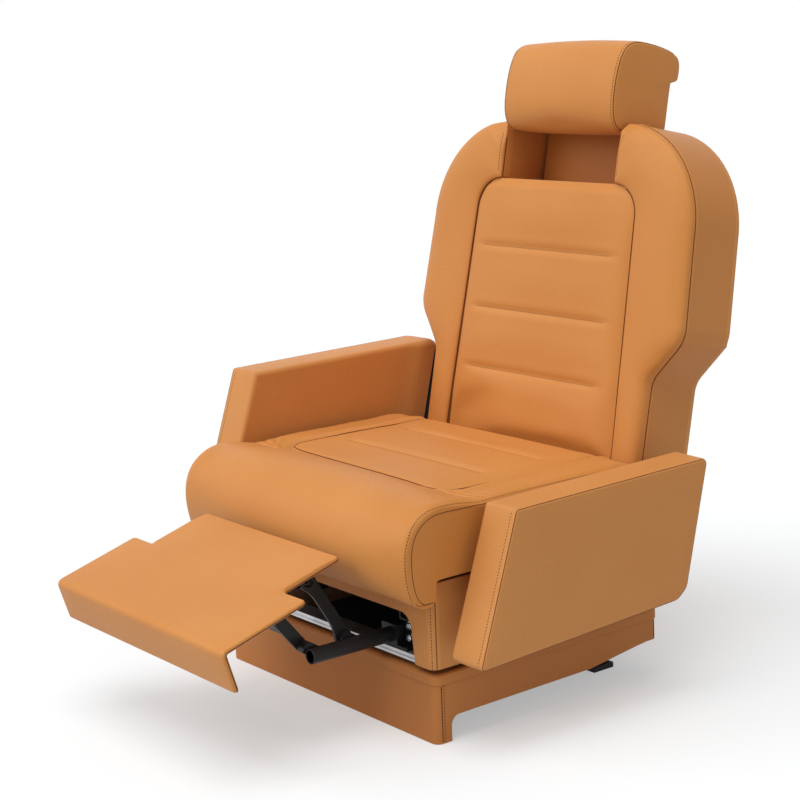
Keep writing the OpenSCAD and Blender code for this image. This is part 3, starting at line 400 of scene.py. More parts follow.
def curve_through(points, step=4.0):
    """A smooth path through a few points."""
    p = np.asarray(points, float)
    ext = np.vstack([2 * p[0] - p[1], p, 2 * p[-1] - p[-2]])
    out = []
    for i in range(1, len(ext) - 2):
        a, b, c, d = ext[i - 1:i + 3]
        for t in np.linspace(0, 1, 16, endpoint=False):
            out.append(0.5 * (2 * b + (c - a) * t + (2 * a - 5 * b + 4 * c - d) * t * t
                              + (3 * b - a - 3 * c + d) * t ** 3))
    out.append(p[-1])
    return resample(out, step)


SWELL_FRAMES, SWELL_STIFFNESS = 18, 12.0


def swell(grid, pins, pressure, cap):
    """Blows up the padding of a skin of rings with a short cloth simulation.

    pins is 1 where the cover is held, and cap is the most that a point moves, in mm. Every second ring and
    point is simulated, and the smoothed movement is added to the full grid.
    """
    coarse, held = grid[::2, ::2], pins[::2, ::2]
    rows, cols = coarse.shape[:2]
    obj = place("swelling", mesh_of("swelling", coarse.reshape(-1, 3), grid_faces(rows, cols)))
    group = obj.vertex_groups.new(name="held")
    for i, w in enumerate(held.reshape(-1)):
        group.add([i], float(w), "REPLACE")
    cloth = obj.modifiers.new("cloth", "CLOTH")
    s = cloth.settings
    s.quality = 5
    s.mass = 0.25
    s.tension_stiffness = s.compression_stiffness = SWELL_STIFFNESS
    s.shear_stiffness = SWELL_STIFFNESS / 2
    s.bending_stiffness = 0.6
    s.use_pressure = True
    s.uniform_pressure_force = pressure
    s.vertex_group_mass = "held"
    s.effector_weights.gravity = 0.0
    cloth.collision_settings.use_collision = False
    for f in range(1, SWELL_FRAMES + 1):
        bpy.context.scene.frame_set(f)
    out = obj.evaluated_get(bpy.context.evaluated_depsgraph_get()).to_mesh()
    co = np.zeros(len(out.vertices) * 3)
    out.vertices.foreach_get("co", co)
    move = co.reshape(rows, cols, 3) / MM - coarse
    bpy.data.objects.remove(obj)
    bpy.context.scene.frame_set(1)
    size = np.linalg.norm(move, axis=2, keepdims=True)
    move *= np.minimum(1.0, cap / np.maximum(size, 1e-6))
    move *= (1 - held)[..., None]
    for _ in range(2):
        move = (2 * move + np.roll(move, 1, 1) + np.roll(move, -1, 1)) / 4
        move[1:-1] = (2 * move[1:-1] + move[:-2] + move[2:]) / 4
    i = np.clip(np.arange(grid.shape[0]) / 2, 0, rows - 1)
    j = np.arange(grid.shape[1]) / 2
    i0, j0 = i.astype(int), j.astype(int)
    i1, j1 = np.minimum(i0 + 1, rows - 1), (j0 + 1) % cols
    fi, fj = (i - i0)[:, None, None], (j - j0)[None, :, None]
    fine = (move[i0][:, j0] * (1 - fi) * (1 - fj) + move[i1][:, j0] * fi * (1 - fj)
            + move[i0][:, j1] * (1 - fi) * fj + move[i1][:, j1] * fi * fj)
    return grid + fine


def normals(grid):
    """Outward unit normals of a skin of rings."""
    du = np.gradient(grid, axis=0)
    dv = (np.roll(grid, -1, 1) - np.roll(grid, 1, 1)) / 2
    n = unit(np.cross(du, dv))
    mid = grid.mean(axis=(0, 1))
    if np.mean(np.sum((grid - mid) * n, axis=2)) < 0:
        n = -n
    return n


BOARD_EDGE, TOP_BAND = math.radians(25), 4.0


def soften(node, width, mat=TAN_BOARD_LIT, segments=3, only=None, drop=0.0):
    """A copy of a CAD panel with its sharp edges rolled over, as leather turns round a board.

    only picks among the sharp edges, and drop lowers the panel's top edge, in mm.
    """
    bm = bmesh.new()
    bm.from_mesh(NODES[node].data)
    bmesh.ops.remove_doubles(bm, verts=bm.verts, dist=1e-5)
    bmesh.ops.dissolve_limit(bm, angle_limit=math.radians(1.0), verts=bm.verts, edges=bm.edges)
    sharp = [e for e in bm.edges if len(e.link_faces) == 2 and e.calc_face_angle(0.0) > BOARD_EDGE
             and (only is None or only(e))]
    bmesh.ops.bevel(bm, geom=sharp, offset=width * MM, segments=segments, profile=0.5, affect="EDGES",
                    clamp_overlap=True)
    top = max(v.co.z for v in bm.verts)
    for v in bm.verts:
        if v.co.z > top - TOP_BAND * MM:
            v.co.z -= drop * MM
    obj = bm_object(bm, node + "_cover", mat, BODY[node], 50)
    even = obj.modifiers.new("even", "WEIGHTED_NORMAL")
    even.keep_sharp = True
    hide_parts(node)
    return obj


class Surface:
    """Nearest points on the finished faces of some objects."""

    def __init__(self, *objs):
        dg = bpy.context.evaluated_depsgraph_get()
        self.trees = [BVHTree.FromObject(o, dg) for o in objs]

    def near(self, p):
        """The nearest point in mm, and the normal there."""
        best = min((t.find_nearest(Vector(p) * MM) for t in self.trees), key=lambda r: r[3])
        return np.array(best[0]) / MM, np.array(best[1])


def lay(path, surface, step):
    """A path laid on a surface: its points and the normals there."""
    pts, nrm = zip(*(surface.near(p) for p in resample(path, step)))
    return np.array(pts), np.array(nrm)


def frames_along(pts, nrm):
    """Unit vectors along a path and to its side."""
    tan = unit(np.gradient(pts, axis=0))
    return tan, unit(np.cross(tan, nrm))


SEAM_STEP, PITCH = 4.0, 4.4
# a needle hole and a stitch are flat six-sided pebbles, each with its half length, half width and height
PEBBLE = np.array([[1, 0, 0], [0.4, 0.8, 0], [-0.4, 0.8, 0], [-1, 0, 0], [-0.4, -0.8, 0], [0.4, -0.8, 0],
                   [0, 0, 1]], float)
PEBBLE_FACES = [(0, 1, 6), (1, 2, 6), (2, 3, 6), (3, 4, 6), (4, 5, 6), (5, 0, 6), (5, 4, 3, 2, 1, 0)]
HOLE_SIZE, HOLE_LIFT, THREAD_SIZE = (1.2, 0.95, 0.35), 0.02, (0.9, 0.5, 0.35)


class Sewing:
    """Collects seams, welts and stitches of one body and makes one object of each kind."""

    def __init__(self, name, body):
        self.name, self.body = name, body
        self.parts = {}

    def tube(self, kind, pts, nrm, radius, lift, sides=6):
        """A round bead along a laid path, its axis lifted off the surface."""
        _, side = frames_along(pts, nrm)
        centre = pts + nrm * lift
        a = np.arange(sides) * 2 * math.pi / sides
        ring = centre[:, None] + radius * (np.cos(a)[None, :, None] * side[:, None]
                                           + np.sin(a)[None, :, None] * nrm[:, None])
        self.keep(kind, ring.reshape(-1, 3), grid_faces(len(pts), sides))

    def keep(self, kind, verts, faces):
        """Adds points and faces to the object of one kind."""
        verts_all, faces_all, count = self.parts.setdefault(kind, ([], [], [0]))
        verts_all.append(verts)
        faces_all.extend(tuple(i + count[0] for i in f) for f in faces)
        count[0] += len(verts)

    def seam(self, path, surface, radius=0.75, lift=-0.15):
        self.tube("seams", *lay(path, surface, SEAM_STEP), radius, lift)

    def welt(self, path, surface, radius, lift):
        self.tube("welts", *lay(path, surface, SEAM_STEP), radius, lift, 8)

    def stitches(self, path, surface, pitch=PITCH, shift=0.0):
        """A row of stitches beside a path: sunk thread between needle holes, drawn as dark pebbles of painted
        shade.
        """
        pts, nrm = lay(path, surface, pitch)
        tan, side = frames_along(pts, nrm)
        pts = pts + side * shift
        for p, t, n, s in zip(pts, tan, nrm, side):
            basis = np.stack([t, s, n])
            self.keep("needle_hole_shade", p + (PEBBLE * HOLE_SIZE) @ basis + n * HOLE_LIFT, PEBBLE_FACES)
            self.keep("threads", p + t * pitch / 2 + (PEBBLE * THREAD_SIZE) @ basis, PEBBLE_FACES)

    def finish(self):
        looks = {"seams": SEAM, "needle_hole_shade": HOLE_SHADE, "threads": THREAD, "welts": TAN}
        for kind, (verts, faces, _) in self.parts.items():
            make(f"{self.name}_{kind}", np.concatenate(verts), faces, looks[kind], self.body)


# ---- seat cushion


def seat_profile(x):
    """Closed profile of the cushion in Y and Z at one place across it."""
    inset = 8.0 * rolled(x, SIDE_X, 14.0)
    side = smooth(150, CUSHION_HALF, abs(x))
    full = 1 - (x / CUSHION_HALF) ** 2
    keys = np.array([
        (167, 241.5), (120, 241), (60, 241), (0, 241), (-60, 241), (-120, 241), (-170, 241), (-205, 241),
        (-223.5, 240.6), (-223.6, 228), (-224, 214), (-229, 207), (-240, 205.5), (-251, 207.5),
        (-261, 214), (-268, 226), (-273, 245), (-276, 268), (-275, 291), (-270, 311), (-261, 326),
        (-248, 336.5), (-232, 342), (-214, 344), (-196, 343.5), (-178, 341), (-162, 337.5), (-149, 334.5),
        (-136, 333), (-120, 333.5), (-100, 334), (-80, 334), (-60, 334), (-40, 334), (-20, 334), (0, 334),
        (20, 334), (40, 334), (60, 333.8), (80, 333.5), (100, 334.5), (120, 335), (138, 334.5), (152, 332),
        (162, 325), (169, 312), (172, 298), (172, 280), (170, 262)], float)
    y, z = keys[:, 0].copy(), keys[:, 1].copy()
    up = smooth(CUSHION_Z, 330, z)
    forward = smooth(-205, -268, y)
    top_in = smooth(-150, -120, y) * (1 - smooth(120, 165, y)) * smooth(300, 330, z)
    z += SEAT_CROWN * full * up * (1 - top_in) + INSERT_CROWN * full * top_in
    y -= ROLL_CROWN * full * forward + 0.5 * side * forward
    z -= inset * up + 5.0 * side * up * smooth(-215, -255, y)
    y += inset * 0.8 * forward * smooth(208, 232, z)
    z += 3.0 * side * up * smooth(-200, -50, y) * smooth(300, 330, z) * (1 - smooth(120, 165, y))
    return np.stack([y, z], -1)


# folds that the sewing draws into the leather at the insert's front corners and along its sides: how far
# outside and behind the corner, angle in degrees, length and depth
FOLDS = [(34, -16, 12, 30, 1.3), (42, 0, 22, 28, 1.2), (46, 18, 34, 24, 1.0), (16, -8, 38, 26, 1.5),
         (26, 4, 62, 30, 1.3), (24, 24, 80, 26, 1.1), (4, -20, 12, 24, 1.0), (22, 60, 86, 34, 0.8),
         (24, 118, 94, 40, 0.7), (20, 190, 90, 46, 0.6)]
FOLD_SCALE = {-1: 1.5, 1: 0.8}


def insert_corner(x, y):
    """Distance outside the rounded front corners of the seat insert, 0 on its seam."""
    r = 34.0
    front = -137.0 - 8.0 * x / SEAT_INSERT
    half = SEAT_INSERT - 6.0 * smooth(-120, 120, y)
    dx, dy = np.abs(x) - (half - r), (front + r) - y
    outside = np.hypot(np.maximum(dx, 0), np.maximum(dy, 0)) + np.minimum(np.maximum(dx, dy), 0)
    return outside - r


def seat_cushion():
    xs = places_across(SIDE_X, (0, 0.3, 0.9, 1.8, 3.2, 5, 7.2, 10, 14, 20), 23, 88)
    grid = set_across(xs, chaikin(np.stack([seat_profile(x) for x in xs]), 3))
    x, y, z = np.moveaxis(grid, -1, 0)
    up = smooth(318, 328, z) * smooth(-195, -170, y) * (1 - smooth(148, 160, y))
    seam = insert_corner(x, y)
    inside = smooth(4, -4, seam) * up
    channel = sum(bell(y, c, 3.6) for c in SEAT_CHANNELS) * (1 - smooth(150, 168, np.abs(x)))
    pins = np.maximum.reduce([
        np.clip(0.93 * bell(seam, 0, 7.0) * up + 0.9 * channel * inside, 0, 1),
        smooth(262, 246, z) * smooth(-222, -214, y), np.where(z < 242, 1.0, 0.0) * smooth(-228, -222, y),
        smooth(148, 160, y), 0.985 * smooth(SIDE_X - 14, SIDE_X - 3, np.abs(x))])
    grid = swell(grid, pins, 3.0, 6.0)
    n = normals(grid)
    side = smooth(SEAT_INSERT - 34, SEAT_INSERT - 6, np.abs(x))
    lift = -1.8 * bell(seam, 1.5, 2.8) * up - 1.8 * channel * inside
    lift += 2.4 * (1 - 0.85 * side) * smooth(1.5, -4.5, seam) * (0.35 + 0.65 * bell(seam, -4, 24)) * up
    lift += (0.3 + 2.6 * side * smooth(-190, -80, y)) * bell(seam, 15, 9) * up
    near = sum(bell(y, c + 14, 9) + bell(y, c - 14, 9) for c in SEAT_CHANNELS)
    lift += 1.0 * near * (1 - smooth(145, 165, np.abs(x))) * inside
    for sx, scale in FOLD_SCALE.items():
        for dx, dy, angle, long, deep in FOLDS:
            cx, cy = sx * (SEAT_INSERT - 8 + dx), -132 + dy + 3 * sx
            a = math.radians(angle) * sx
            u = (x - cx) * math.cos(a) + (y - cy) * math.sin(a)
            v = -(x - cx) * math.sin(a) + (y - cy) * math.cos(a)
            ripple = bell(v, 5, 4.5) - bell(v, 0, 3.0)
            lift += scale * deep * bell(u, 0, long) * ripple * smooth(300, 325, z)
    obj = grid_object("seat_cushion_cover", grid + n * lift[..., None], TAN, "seat", 75)
    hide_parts("seat_cushion")
    return obj


seat = seat_cushion()
on_seat = Surface(seat)
sew = Sewing("seat", "seat")
# seam round the sewn-in insert, open at the back where it runs under the backrest
h = SEAT_INSERT
ring = [(6 - h, 158), (4 - h, 90), (-h, 0), (-h, -70), (1 - h, -95), (10 - h, -118), (34 - h, -129),
        (-110, -133), (0, -137), (110, -141), (h - 34, -144), (h - 10, -134), (h - 1, -111), (h, -80), (h, 0),
        (h - 4, 90), (h - 6, 158)]
sew.seam(curve_through([(x, y, SEAT_TOP) for x, y in ring], 3.0), on_seat, 0.7, 0.15)
for c in SEAT_CHANNELS:
    sew.stitches([(x, c, SEAT_TOP) for x in (-160, -80, 0, 80, 160)], on_seat)
side_seam = [(150, 322), (60, 327), (-40, 328), (-120, 329.5), (-180, 331), (-214, 331), (-234, 326),
             (-252, 312), (-261, 292), (-263, 270), (-261, 245), (-255, 224), (-244, 212), (-228, 212)]
for sx in (-1, 1):
    line = curve_through([(sx * (SIDE_X - 0.8), y, z) for y, z in side_seam], 3.0)
    sew.seam(line, on_seat, 0.6)
    # the row of stitches runs on the front and the top, so its path is moved out over them
    sew.stitches([p + (-sx * 1.5, -9.0 * smooth(-180, -240, p[1]), 8.0 * smooth(300, 325, p[2]))
                  for p in line], on_seat)
sew.finish()

# ---- back: insert and bolsters


def insert_half(s):
    """Half the width of the insert at height s along the back."""
    s = np.asarray(s, float)
    w = INSERT_BOTTOM + (INSERT_TOP - INSERT_BOTTOM) * np.clip(s / (SLOT_S - INSERT_R), 0, 1)
    d = np.clip(s - (SLOT_S - INSERT_R), 0, INSERT_R)
    return w - INSERT_R + np.sqrt(np.maximum(0, INSERT_R ** 2 - d * d))


def hip_edge(s):
    """Outer edge of the back at height s along it: hip, waist, slope, armpit and shoulder."""
    if s < WAIST_S - WAIST_L:
        return HIP_HALF
    if s < WAIST_S + WAIST_L * math.cos(ARMPIT_LEAN):
        return HIP_HALF + WAIST_R - math.sqrt(WAIST_R ** 2 - (s - WAIST_S + WAIST_L) ** 2)
    if s < LINE_S:
        return LINE_X - (LINE_S - s) * math.tan(ARMPIT_LEAN)
    if s < ARMPIT_S:
        return ARMPIT_X + math.sqrt(ARMPIT_R ** 2 - (ARMPIT_S - s) ** 2)
    return SHOULDER_HALF - 7 * (s - ARMPIT_S) / (BACK_H - SHOULDER_R - ARMPIT_S)


def back_insert():
    """The padded insert with its sewn channels, with a skirt that goes back into the seam."""
    rows = np.concatenate([np.linspace(INSERT_FOOT, SLOT_S - 20, 132),
                           SLOT_S - np.array([17, 14, 11, 8, 5.5, 3.5, 2, 1])])
    cols = np.sin(np.linspace(-1, 1, 61) * math.pi / 2 * 0.94) / math.sin(math.pi / 2 * 0.94)
    w = insert_half(rows)[:, None]
    x, s = cols[None] * w, np.repeat(rows[:, None], len(cols), 1)
    e = np.abs(cols[None]) ** 8
    ends = smooth(INSERT_FOOT, INSERT_FOOT + 30, s) * (1 - smooth(SLOT_S - 20, SLOT_S, s) ** 1.5)
    n = VALLEY_N + (INSERT_N - VALLEY_N) * (1 - e) * (0.12 + 0.88 * ends)
    front = np.stack([x, n, s], -1)
    skirt = [np.stack([sx * w[:, 0], np.full(len(rows), d), rows], -1)[:, None]
             for sx, d in ((1, 20.0), (1, INSERT_BACK_N), (-1, INSERT_BACK_N), (-1, 20.0))]
    # one more point closes each row, because swell needs an even number of them
    local = np.concatenate([front, *skirt, (skirt[-1] + front[:, :1]) / 2], 1)
    lx, ln, ls = np.moveaxis(local, -1, 0)
    span = 1 - smooth(128, 150, np.abs(lx))
    face = smooth(14, 10, ln)
    channel = sum(bell(ls, c, 3.6) for c in BACK_CHANNELS) * span * face
    pins = np.maximum.reduce([0.95 * channel, smooth(5, 10, ln), smooth(SLOT_S - 30, SLOT_S - 10, ls)])
    grid = swell(on_back(lx, ln, ls), pins, 3.0, 7.0)
    nrm = normals(grid)
    near = sum(bell(ls, c + 11, 8) + bell(ls, c - 11, 8) for c in BACK_CHANNELS)
    lift = -2.0 * channel + 0.8 * near * (1 - smooth(132, 162, np.abs(lx))) * face
    for sx in (-1, 1):
        for c in BACK_CHANNELS:
            lift -= 0.9 * bell(ls, c, 4) * bell(lx, sx * 150, 10) * face
    obj = grid_object("back_insert_cover", grid + nrm * lift[..., None], TAN, "back", 70)
    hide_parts("back_insert")
    return obj


def slot_path():
    """Inner edge of the right bolster above the straight part: round the insert's corner, up the slot."""
    a = np.radians(np.linspace(0, 89, 40))
    half, top = float(insert_half(SLOT_S - INSERT_R)), SLOT_S - INSERT_R
    arc = np.stack([half - INSERT_R + INSERT_R * np.cos(a) + 0.5, top + INSERT_R * np.sin(a)], 1)
    start = [(float(insert_half(BACK_H - SHOULDER_R)) + 0.5, BACK_H - SHOULDER_R)]
    wall = [(SLOT_HALF + 0.5, s) for s in np.linspace(SLOT_S + 3, BACK_H - 14, 20)]
    return resample(np.concatenate([start, arc, wall]), 1.0)


BOLSTER_ARC = 37


def bolster_local():
    """Rings of the right bolster in back coordinates, from the seat up and round to the slot."""
    c, top = SHOULDER_HALF - 7 - SHOULDER_R, BACK_H - SHOULDER_R
    ends = []
    for s in np.concatenate([[-78, -75, -70], np.linspace(-64, 80, 26), np.linspace(84, 198, 40),
                             np.linspace(203, top, 22)]):
        ends.append(((float(insert_half(s)) + 0.5, s), (hip_edge(s) - 0.3, s), 1.0, VALLEY_N, SEAM_N - 0.3))
    path = slot_path()
    ang = np.concatenate([np.linspace(2, 84, 62), [85.5, 86.8, 87.8, 88.5]])
    along = np.interp(ang, (0, 15, 30, 45, 60, 75, 88.5), (0, 22, 52, 82, 104, 134, len(path) - 1))
    for a, t in zip(ang, along):
        p = [np.interp(t, range(len(path)), path[:, k]) for k in (0, 1)]
        r = SHOULDER_R - 0.3
        q = (c + r * math.cos(math.radians(a)), top + r * math.sin(math.radians(a)))
        slot = float(smooth(SLOT_S - 12, SLOT_S + 4, p[1]))
        ends.append((p, q, 1 - 0.75 * float(smooth(74, 88.5, a)), VALLEY_N - 1.5 * slot,
                     SEAM_N - 0.3 + 3.0 * slot))
    rings = []
    for p, q, crown, edge, deep in ends:
        p, q = np.array(p), np.array(q)
        a = np.radians(np.linspace(0, 180, BOLSTER_ARC))
        t = (1 - np.cos(a)) / 2
        full = float(smooth(BACK_FOOT - 2, BACK_FOOT + 36, p[1])) * crown
        base = edge + (SEAM_N - 1 - edge) * t
        n = base + (BOLSTER_N - base) * full * np.maximum(0, np.sin(a)) ** 0.62
        xy = p[None] + (q - p)[None] * t[:, None]
        front = np.stack([xy[:, 0], n, xy[:, 1]], -1)
        near, far = q * 0.7 + p * 0.3, q * 0.3 + p * 0.7
        inner = p[0] - (0.9 if deep > SEAM_N else 0.0)
        rear = np.array([[q[0], SEAM_N - 0.3, q[1]], [near[0], SEAM_N - 0.3, near[1]],
                         [far[0], deep, far[1]], [inner, deep, p[1]], [inner, (edge + deep) / 2, p[1]]])
        rings.append(np.concatenate([front, rear]))
    return np.stack(rings)


def bolster(side):
    name = SIDE_NAME[side]
    local = bolster_local()
    lx, ln, ls = np.moveaxis(local * (side, 1, 1), -1, 0)
    j = np.arange(local.shape[1])
    pins = np.maximum(np.where((j < 3) | (j > BOLSTER_ARC - 4), 1.0, 0.0), smooth(-62, -74, ls))
    pins[-6:] = np.maximum(pins[-6:], np.linspace(0, 1, 6)[:, None])
    grid = swell(on_back(lx, ln, ls), pins, 2.5, 5.0)
    obj = grid_object(f"back_bolster_{name}_cover", grid, TAN, "back", 70)
    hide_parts(f"back_bolster_{name}")
    return obj


insert = back_insert()
bolsters = {side: bolster(side) for side in (-1, 1)}

# ---- back: casing and rear panel


def rear_edge(e):
    """Edges of the rear panel that show from behind."""
    k, c = math.sin(RECLINE), math.cos(RECLINE)
    return all(((v.co.y / MM - BACK_Y) * c - (v.co.z / MM - BACK_Z) * k) > BACK_D - 0.5 for v in e.verts)


# the casing's slightly darker leather is painted shade
shell = Surface(*[soften(f"back_casing_{name}", 1.4, TAN_SHELL_SHADED) for name in SIDE_NAME.values()])
rear = soften("back_rear_panel", 8.0, segments=6, only=rear_edge)
sew = Sewing("back", "back")
on_insert = Surface(insert)
for c in BACK_CHANNELS:
    sew.stitches(on_back(np.linspace(-142, 142, 9), -4, c), on_insert, 5.0)
# first and last point of the crowned front of each bolster ring
inner, outer = (bolster_local()[3:-4, k] for k in (0, BOLSTER_ARC - 1))
straight = inner[inner[:, 2] < SLOT_S - 6]
for side in (-1, 1):
    pad, both = Surface(bolsters[side]), Surface(bolsters[side], insert)
    sew.seam(on_back(inner[:, 0] * side, VALLEY_N - 1.0, inner[:, 2]), both, 0.8, 0.1)
    sew.seam(on_back((straight[:, 0] - 2.6) * side, VALLEY_N - 2.0, straight[:, 2]), on_insert, 0.6, 0.1)
    sew.seam(on_back(outer[:, 0] * side, SEAM_N - 1.0, outer[:, 2]), pad, 0.5, 0.05)
    sew.welt(on_back((outer[:, 0] + 0.2) * side, SEAM_N + 1.6, outer[:, 2]), shell, 1.1, 0.2)
    sew.stitches(on_back((SLOT_HALF + 6) * side, 0.0, np.linspace(404, 462, 8)), pad)
# top edge of the insert where it turns down into the slot
edge = on_back(np.linspace(-120, 120, 13), 13.5, SLOT_S - 0.5)
sew.seam(edge, on_insert, 0.7)
on_rear = Surface(rear)
half = [(206, -70), (206, 60), (214, 130), (232, 200), (230, 320), (206, 386), (160, 432), (96, 456),
        (32, 461)]
line = curve_through([on_back(x, BACK_D + 1, s) for x, s in mirrored(half)])
sew.seam(line, on_rear, 0.8)
sew.stitches(line, on_rear, shift=6.0)
sew.finish()

# ---- headrest

# side view of the headrest as (n, s): forward along its underside, over the top and down the lip
HEAD_KEYS = [
    (88, 473), (74, 472), (58, 471), (42, 470), (26, 469), (12, 469.5), (1, 473), (-7, 480.5), (-12, 492),
    (-15, 507), (-16, 525), (-15.5, 545), (-13.5, 563), (-10, 579), (-4, 592), (6, 600), (20, 605),
    (38, 606.5), (56, 606.5), (74, 605.5), (90, 603.5), (104, 600.5), (112, 596), (116.5, 588),
    (117.5, 576), (117, 566), (115, 561.5), (110, 560), (105, 561), (102.2, 557), (102, 545), (102, 528),
    (102, 510), (102, 492), (101.5, 478), (98, 472.5)]


def headrest():
    """The headrest's cover, and the side view that its side seams follow."""
    h = HEAD_HALF + 0.5
    xs = places_across(h, (0, 0.3, 0.9, 1.8, 3.2, 5, 7.5, 11, 15, 20), 26, 30)
    keys = np.array(HEAD_KEYS, float)
    keys[:, 1] += 2.0 * smooth(585, 600, keys[:, 1]) * (1 - smooth(84, 104, keys[:, 0]))
    away = unit(keys - (40.0, 536.0))
    soft = 1 - smooth(80, 100, keys[:, 0])
    crown = smooth(590, 606, keys[:, 1]) * (1 - 0.9 * smooth(60, 104, keys[:, 0]))
    front = smooth(20, -10, keys[:, 0]) * smooth(472, 500, keys[:, 1])
    rings = []
    for x in xs:
        inset = 8.0 * rolled(x, h, 8.0) * 0.6
        full = 1 - (abs(x) / h) ** 2.2
        move = -inset * (0.35 + 0.65 * soft) + full * (3.0 * crown + 4.0 * front * (1 - crown))
        rings.append(keys + away * move[:, None])
    rings = chaikin(np.stack(rings), 2)
    # side faces: rings drawn in towards the middle of the face, standing slightly proud
    caps = [(k, 2.4 * (1 - k ** 2)) for k in (0.96, 0.88, 0.75, 0.6, 0.42, 0.22, 0.06)]
    centre = np.array([46.0, 536.0])
    left, right = (set_across([sign * (h + out) for _, out in caps],
                              np.stack([centre + (ring - centre) * k for k, _ in caps]))
                   for sign, ring in ((-1, rings[0]), (1, rings[-1])))
    local = np.concatenate([left[::-1], set_across(xs, rings), right])
    x, n, s = np.moveaxis(local, -1, 0)
    pins = np.maximum(smooth(60, 76, n), 0.96 * bell(np.abs(x), h - 1, 3.0))
    grid = swell(on_back(x, n, s), pins, 2.0, 4.0)
    obj = grid_object("headrest_cover_leather", grid, TAN, "headrest", 75)
    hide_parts("headrest_cushion", "headrest_cover")
    return obj, chaikin(keys, 2)


head, side_line = headrest()
on_head = Surface(head)
sew = Sewing("headrest", "headrest")
front_line = side_line[:np.argmax(side_line[:, 0] > 104)]
for side in (-1, 1):
    line = on_back((HEAD_HALF + 0.2) * side, front_line[:, 0], front_line[:, 1])
    sew.seam(line, on_head, 0.6, 0.0)
    row = front_line[front_line[:, 0] < 40]
    sew.stitches(on_back((HEAD_HALF - 5.0) * side, row[:, 0], row[:, 1]), on_head)
# sewn-in panel at the rear, below the lip
panel = mirrored([(96, 552), (98, 520), (94, 488), (60, 482)], [(0, 481)])
sew.seam([on_back(x, 104, s) for x, s in curve_through(panel)], on_head, 0.75, 0.0)
sew.finish()
# the mast's darker leather is painted shade under the headrest
soften("headrest_mast", 2.4, TAN_MAST_SHADED)

# ---- arms

ARC_STEP = 2.5


def rounded_outline(corners, radii, step):
    """Closed outline with each corner rounded by its own radius."""
    corners = np.asarray(corners, float)
    out = []
    n = len(corners)
    for i in range(n):
        a, b, c = corners[i - 1], corners[i], corners[(i + 1) % n]
        u, v = (a - b) / np.linalg.norm(a - b), (c - b) / np.linalg.norm(c - b)
        half = math.acos(np.clip(np.dot(u, v), -1, 1)) / 2
        cut = radii[i] / math.tan(half)
        p, q = b + u * cut, b + v * cut
        m = b + (u + v) / np.linalg.norm(u + v) * radii[i] / math.sin(half)
        a0, a1 = math.atan2(*(p - m)[::-1]), math.atan2(*(q - m)[::-1])
        turn = (a1 - a0 + math.pi) % (2 * math.pi) - math.pi
        k = max(4, int(abs(turn) * radii[i] / ARC_STEP))
        out.extend(m + radii[i] * np.array([math.cos(a0 + turn * t), math.sin(a0 + turn * t)])
                   for t in np.linspace(0, 1, k))
    out = np.array(out + [out[0]])
    dense = [out[0]]
    for p, q in zip(out[:-1], out[1:]):
        m = max(1, int(np.linalg.norm(q - p) / step))
        dense.extend(p + (q - p) * t for t in np.linspace(0, 1, m + 1)[1:])
    return np.array(dense[:-1])


def outward(outline):
    """Outward unit normals of a closed outline."""
    tan = unit(np.roll(outline, -1, 0) - np.roll(outline, 1, 0))
    n = np.stack([tan[:, 1], -tan[:, 0]], 1)
    area = np.sum(outline[:, 0] * np.roll(outline[:, 1], -1) - outline[:, 1] * np.roll(outline[:, 0], -1))
    return n if area > 0 else -n


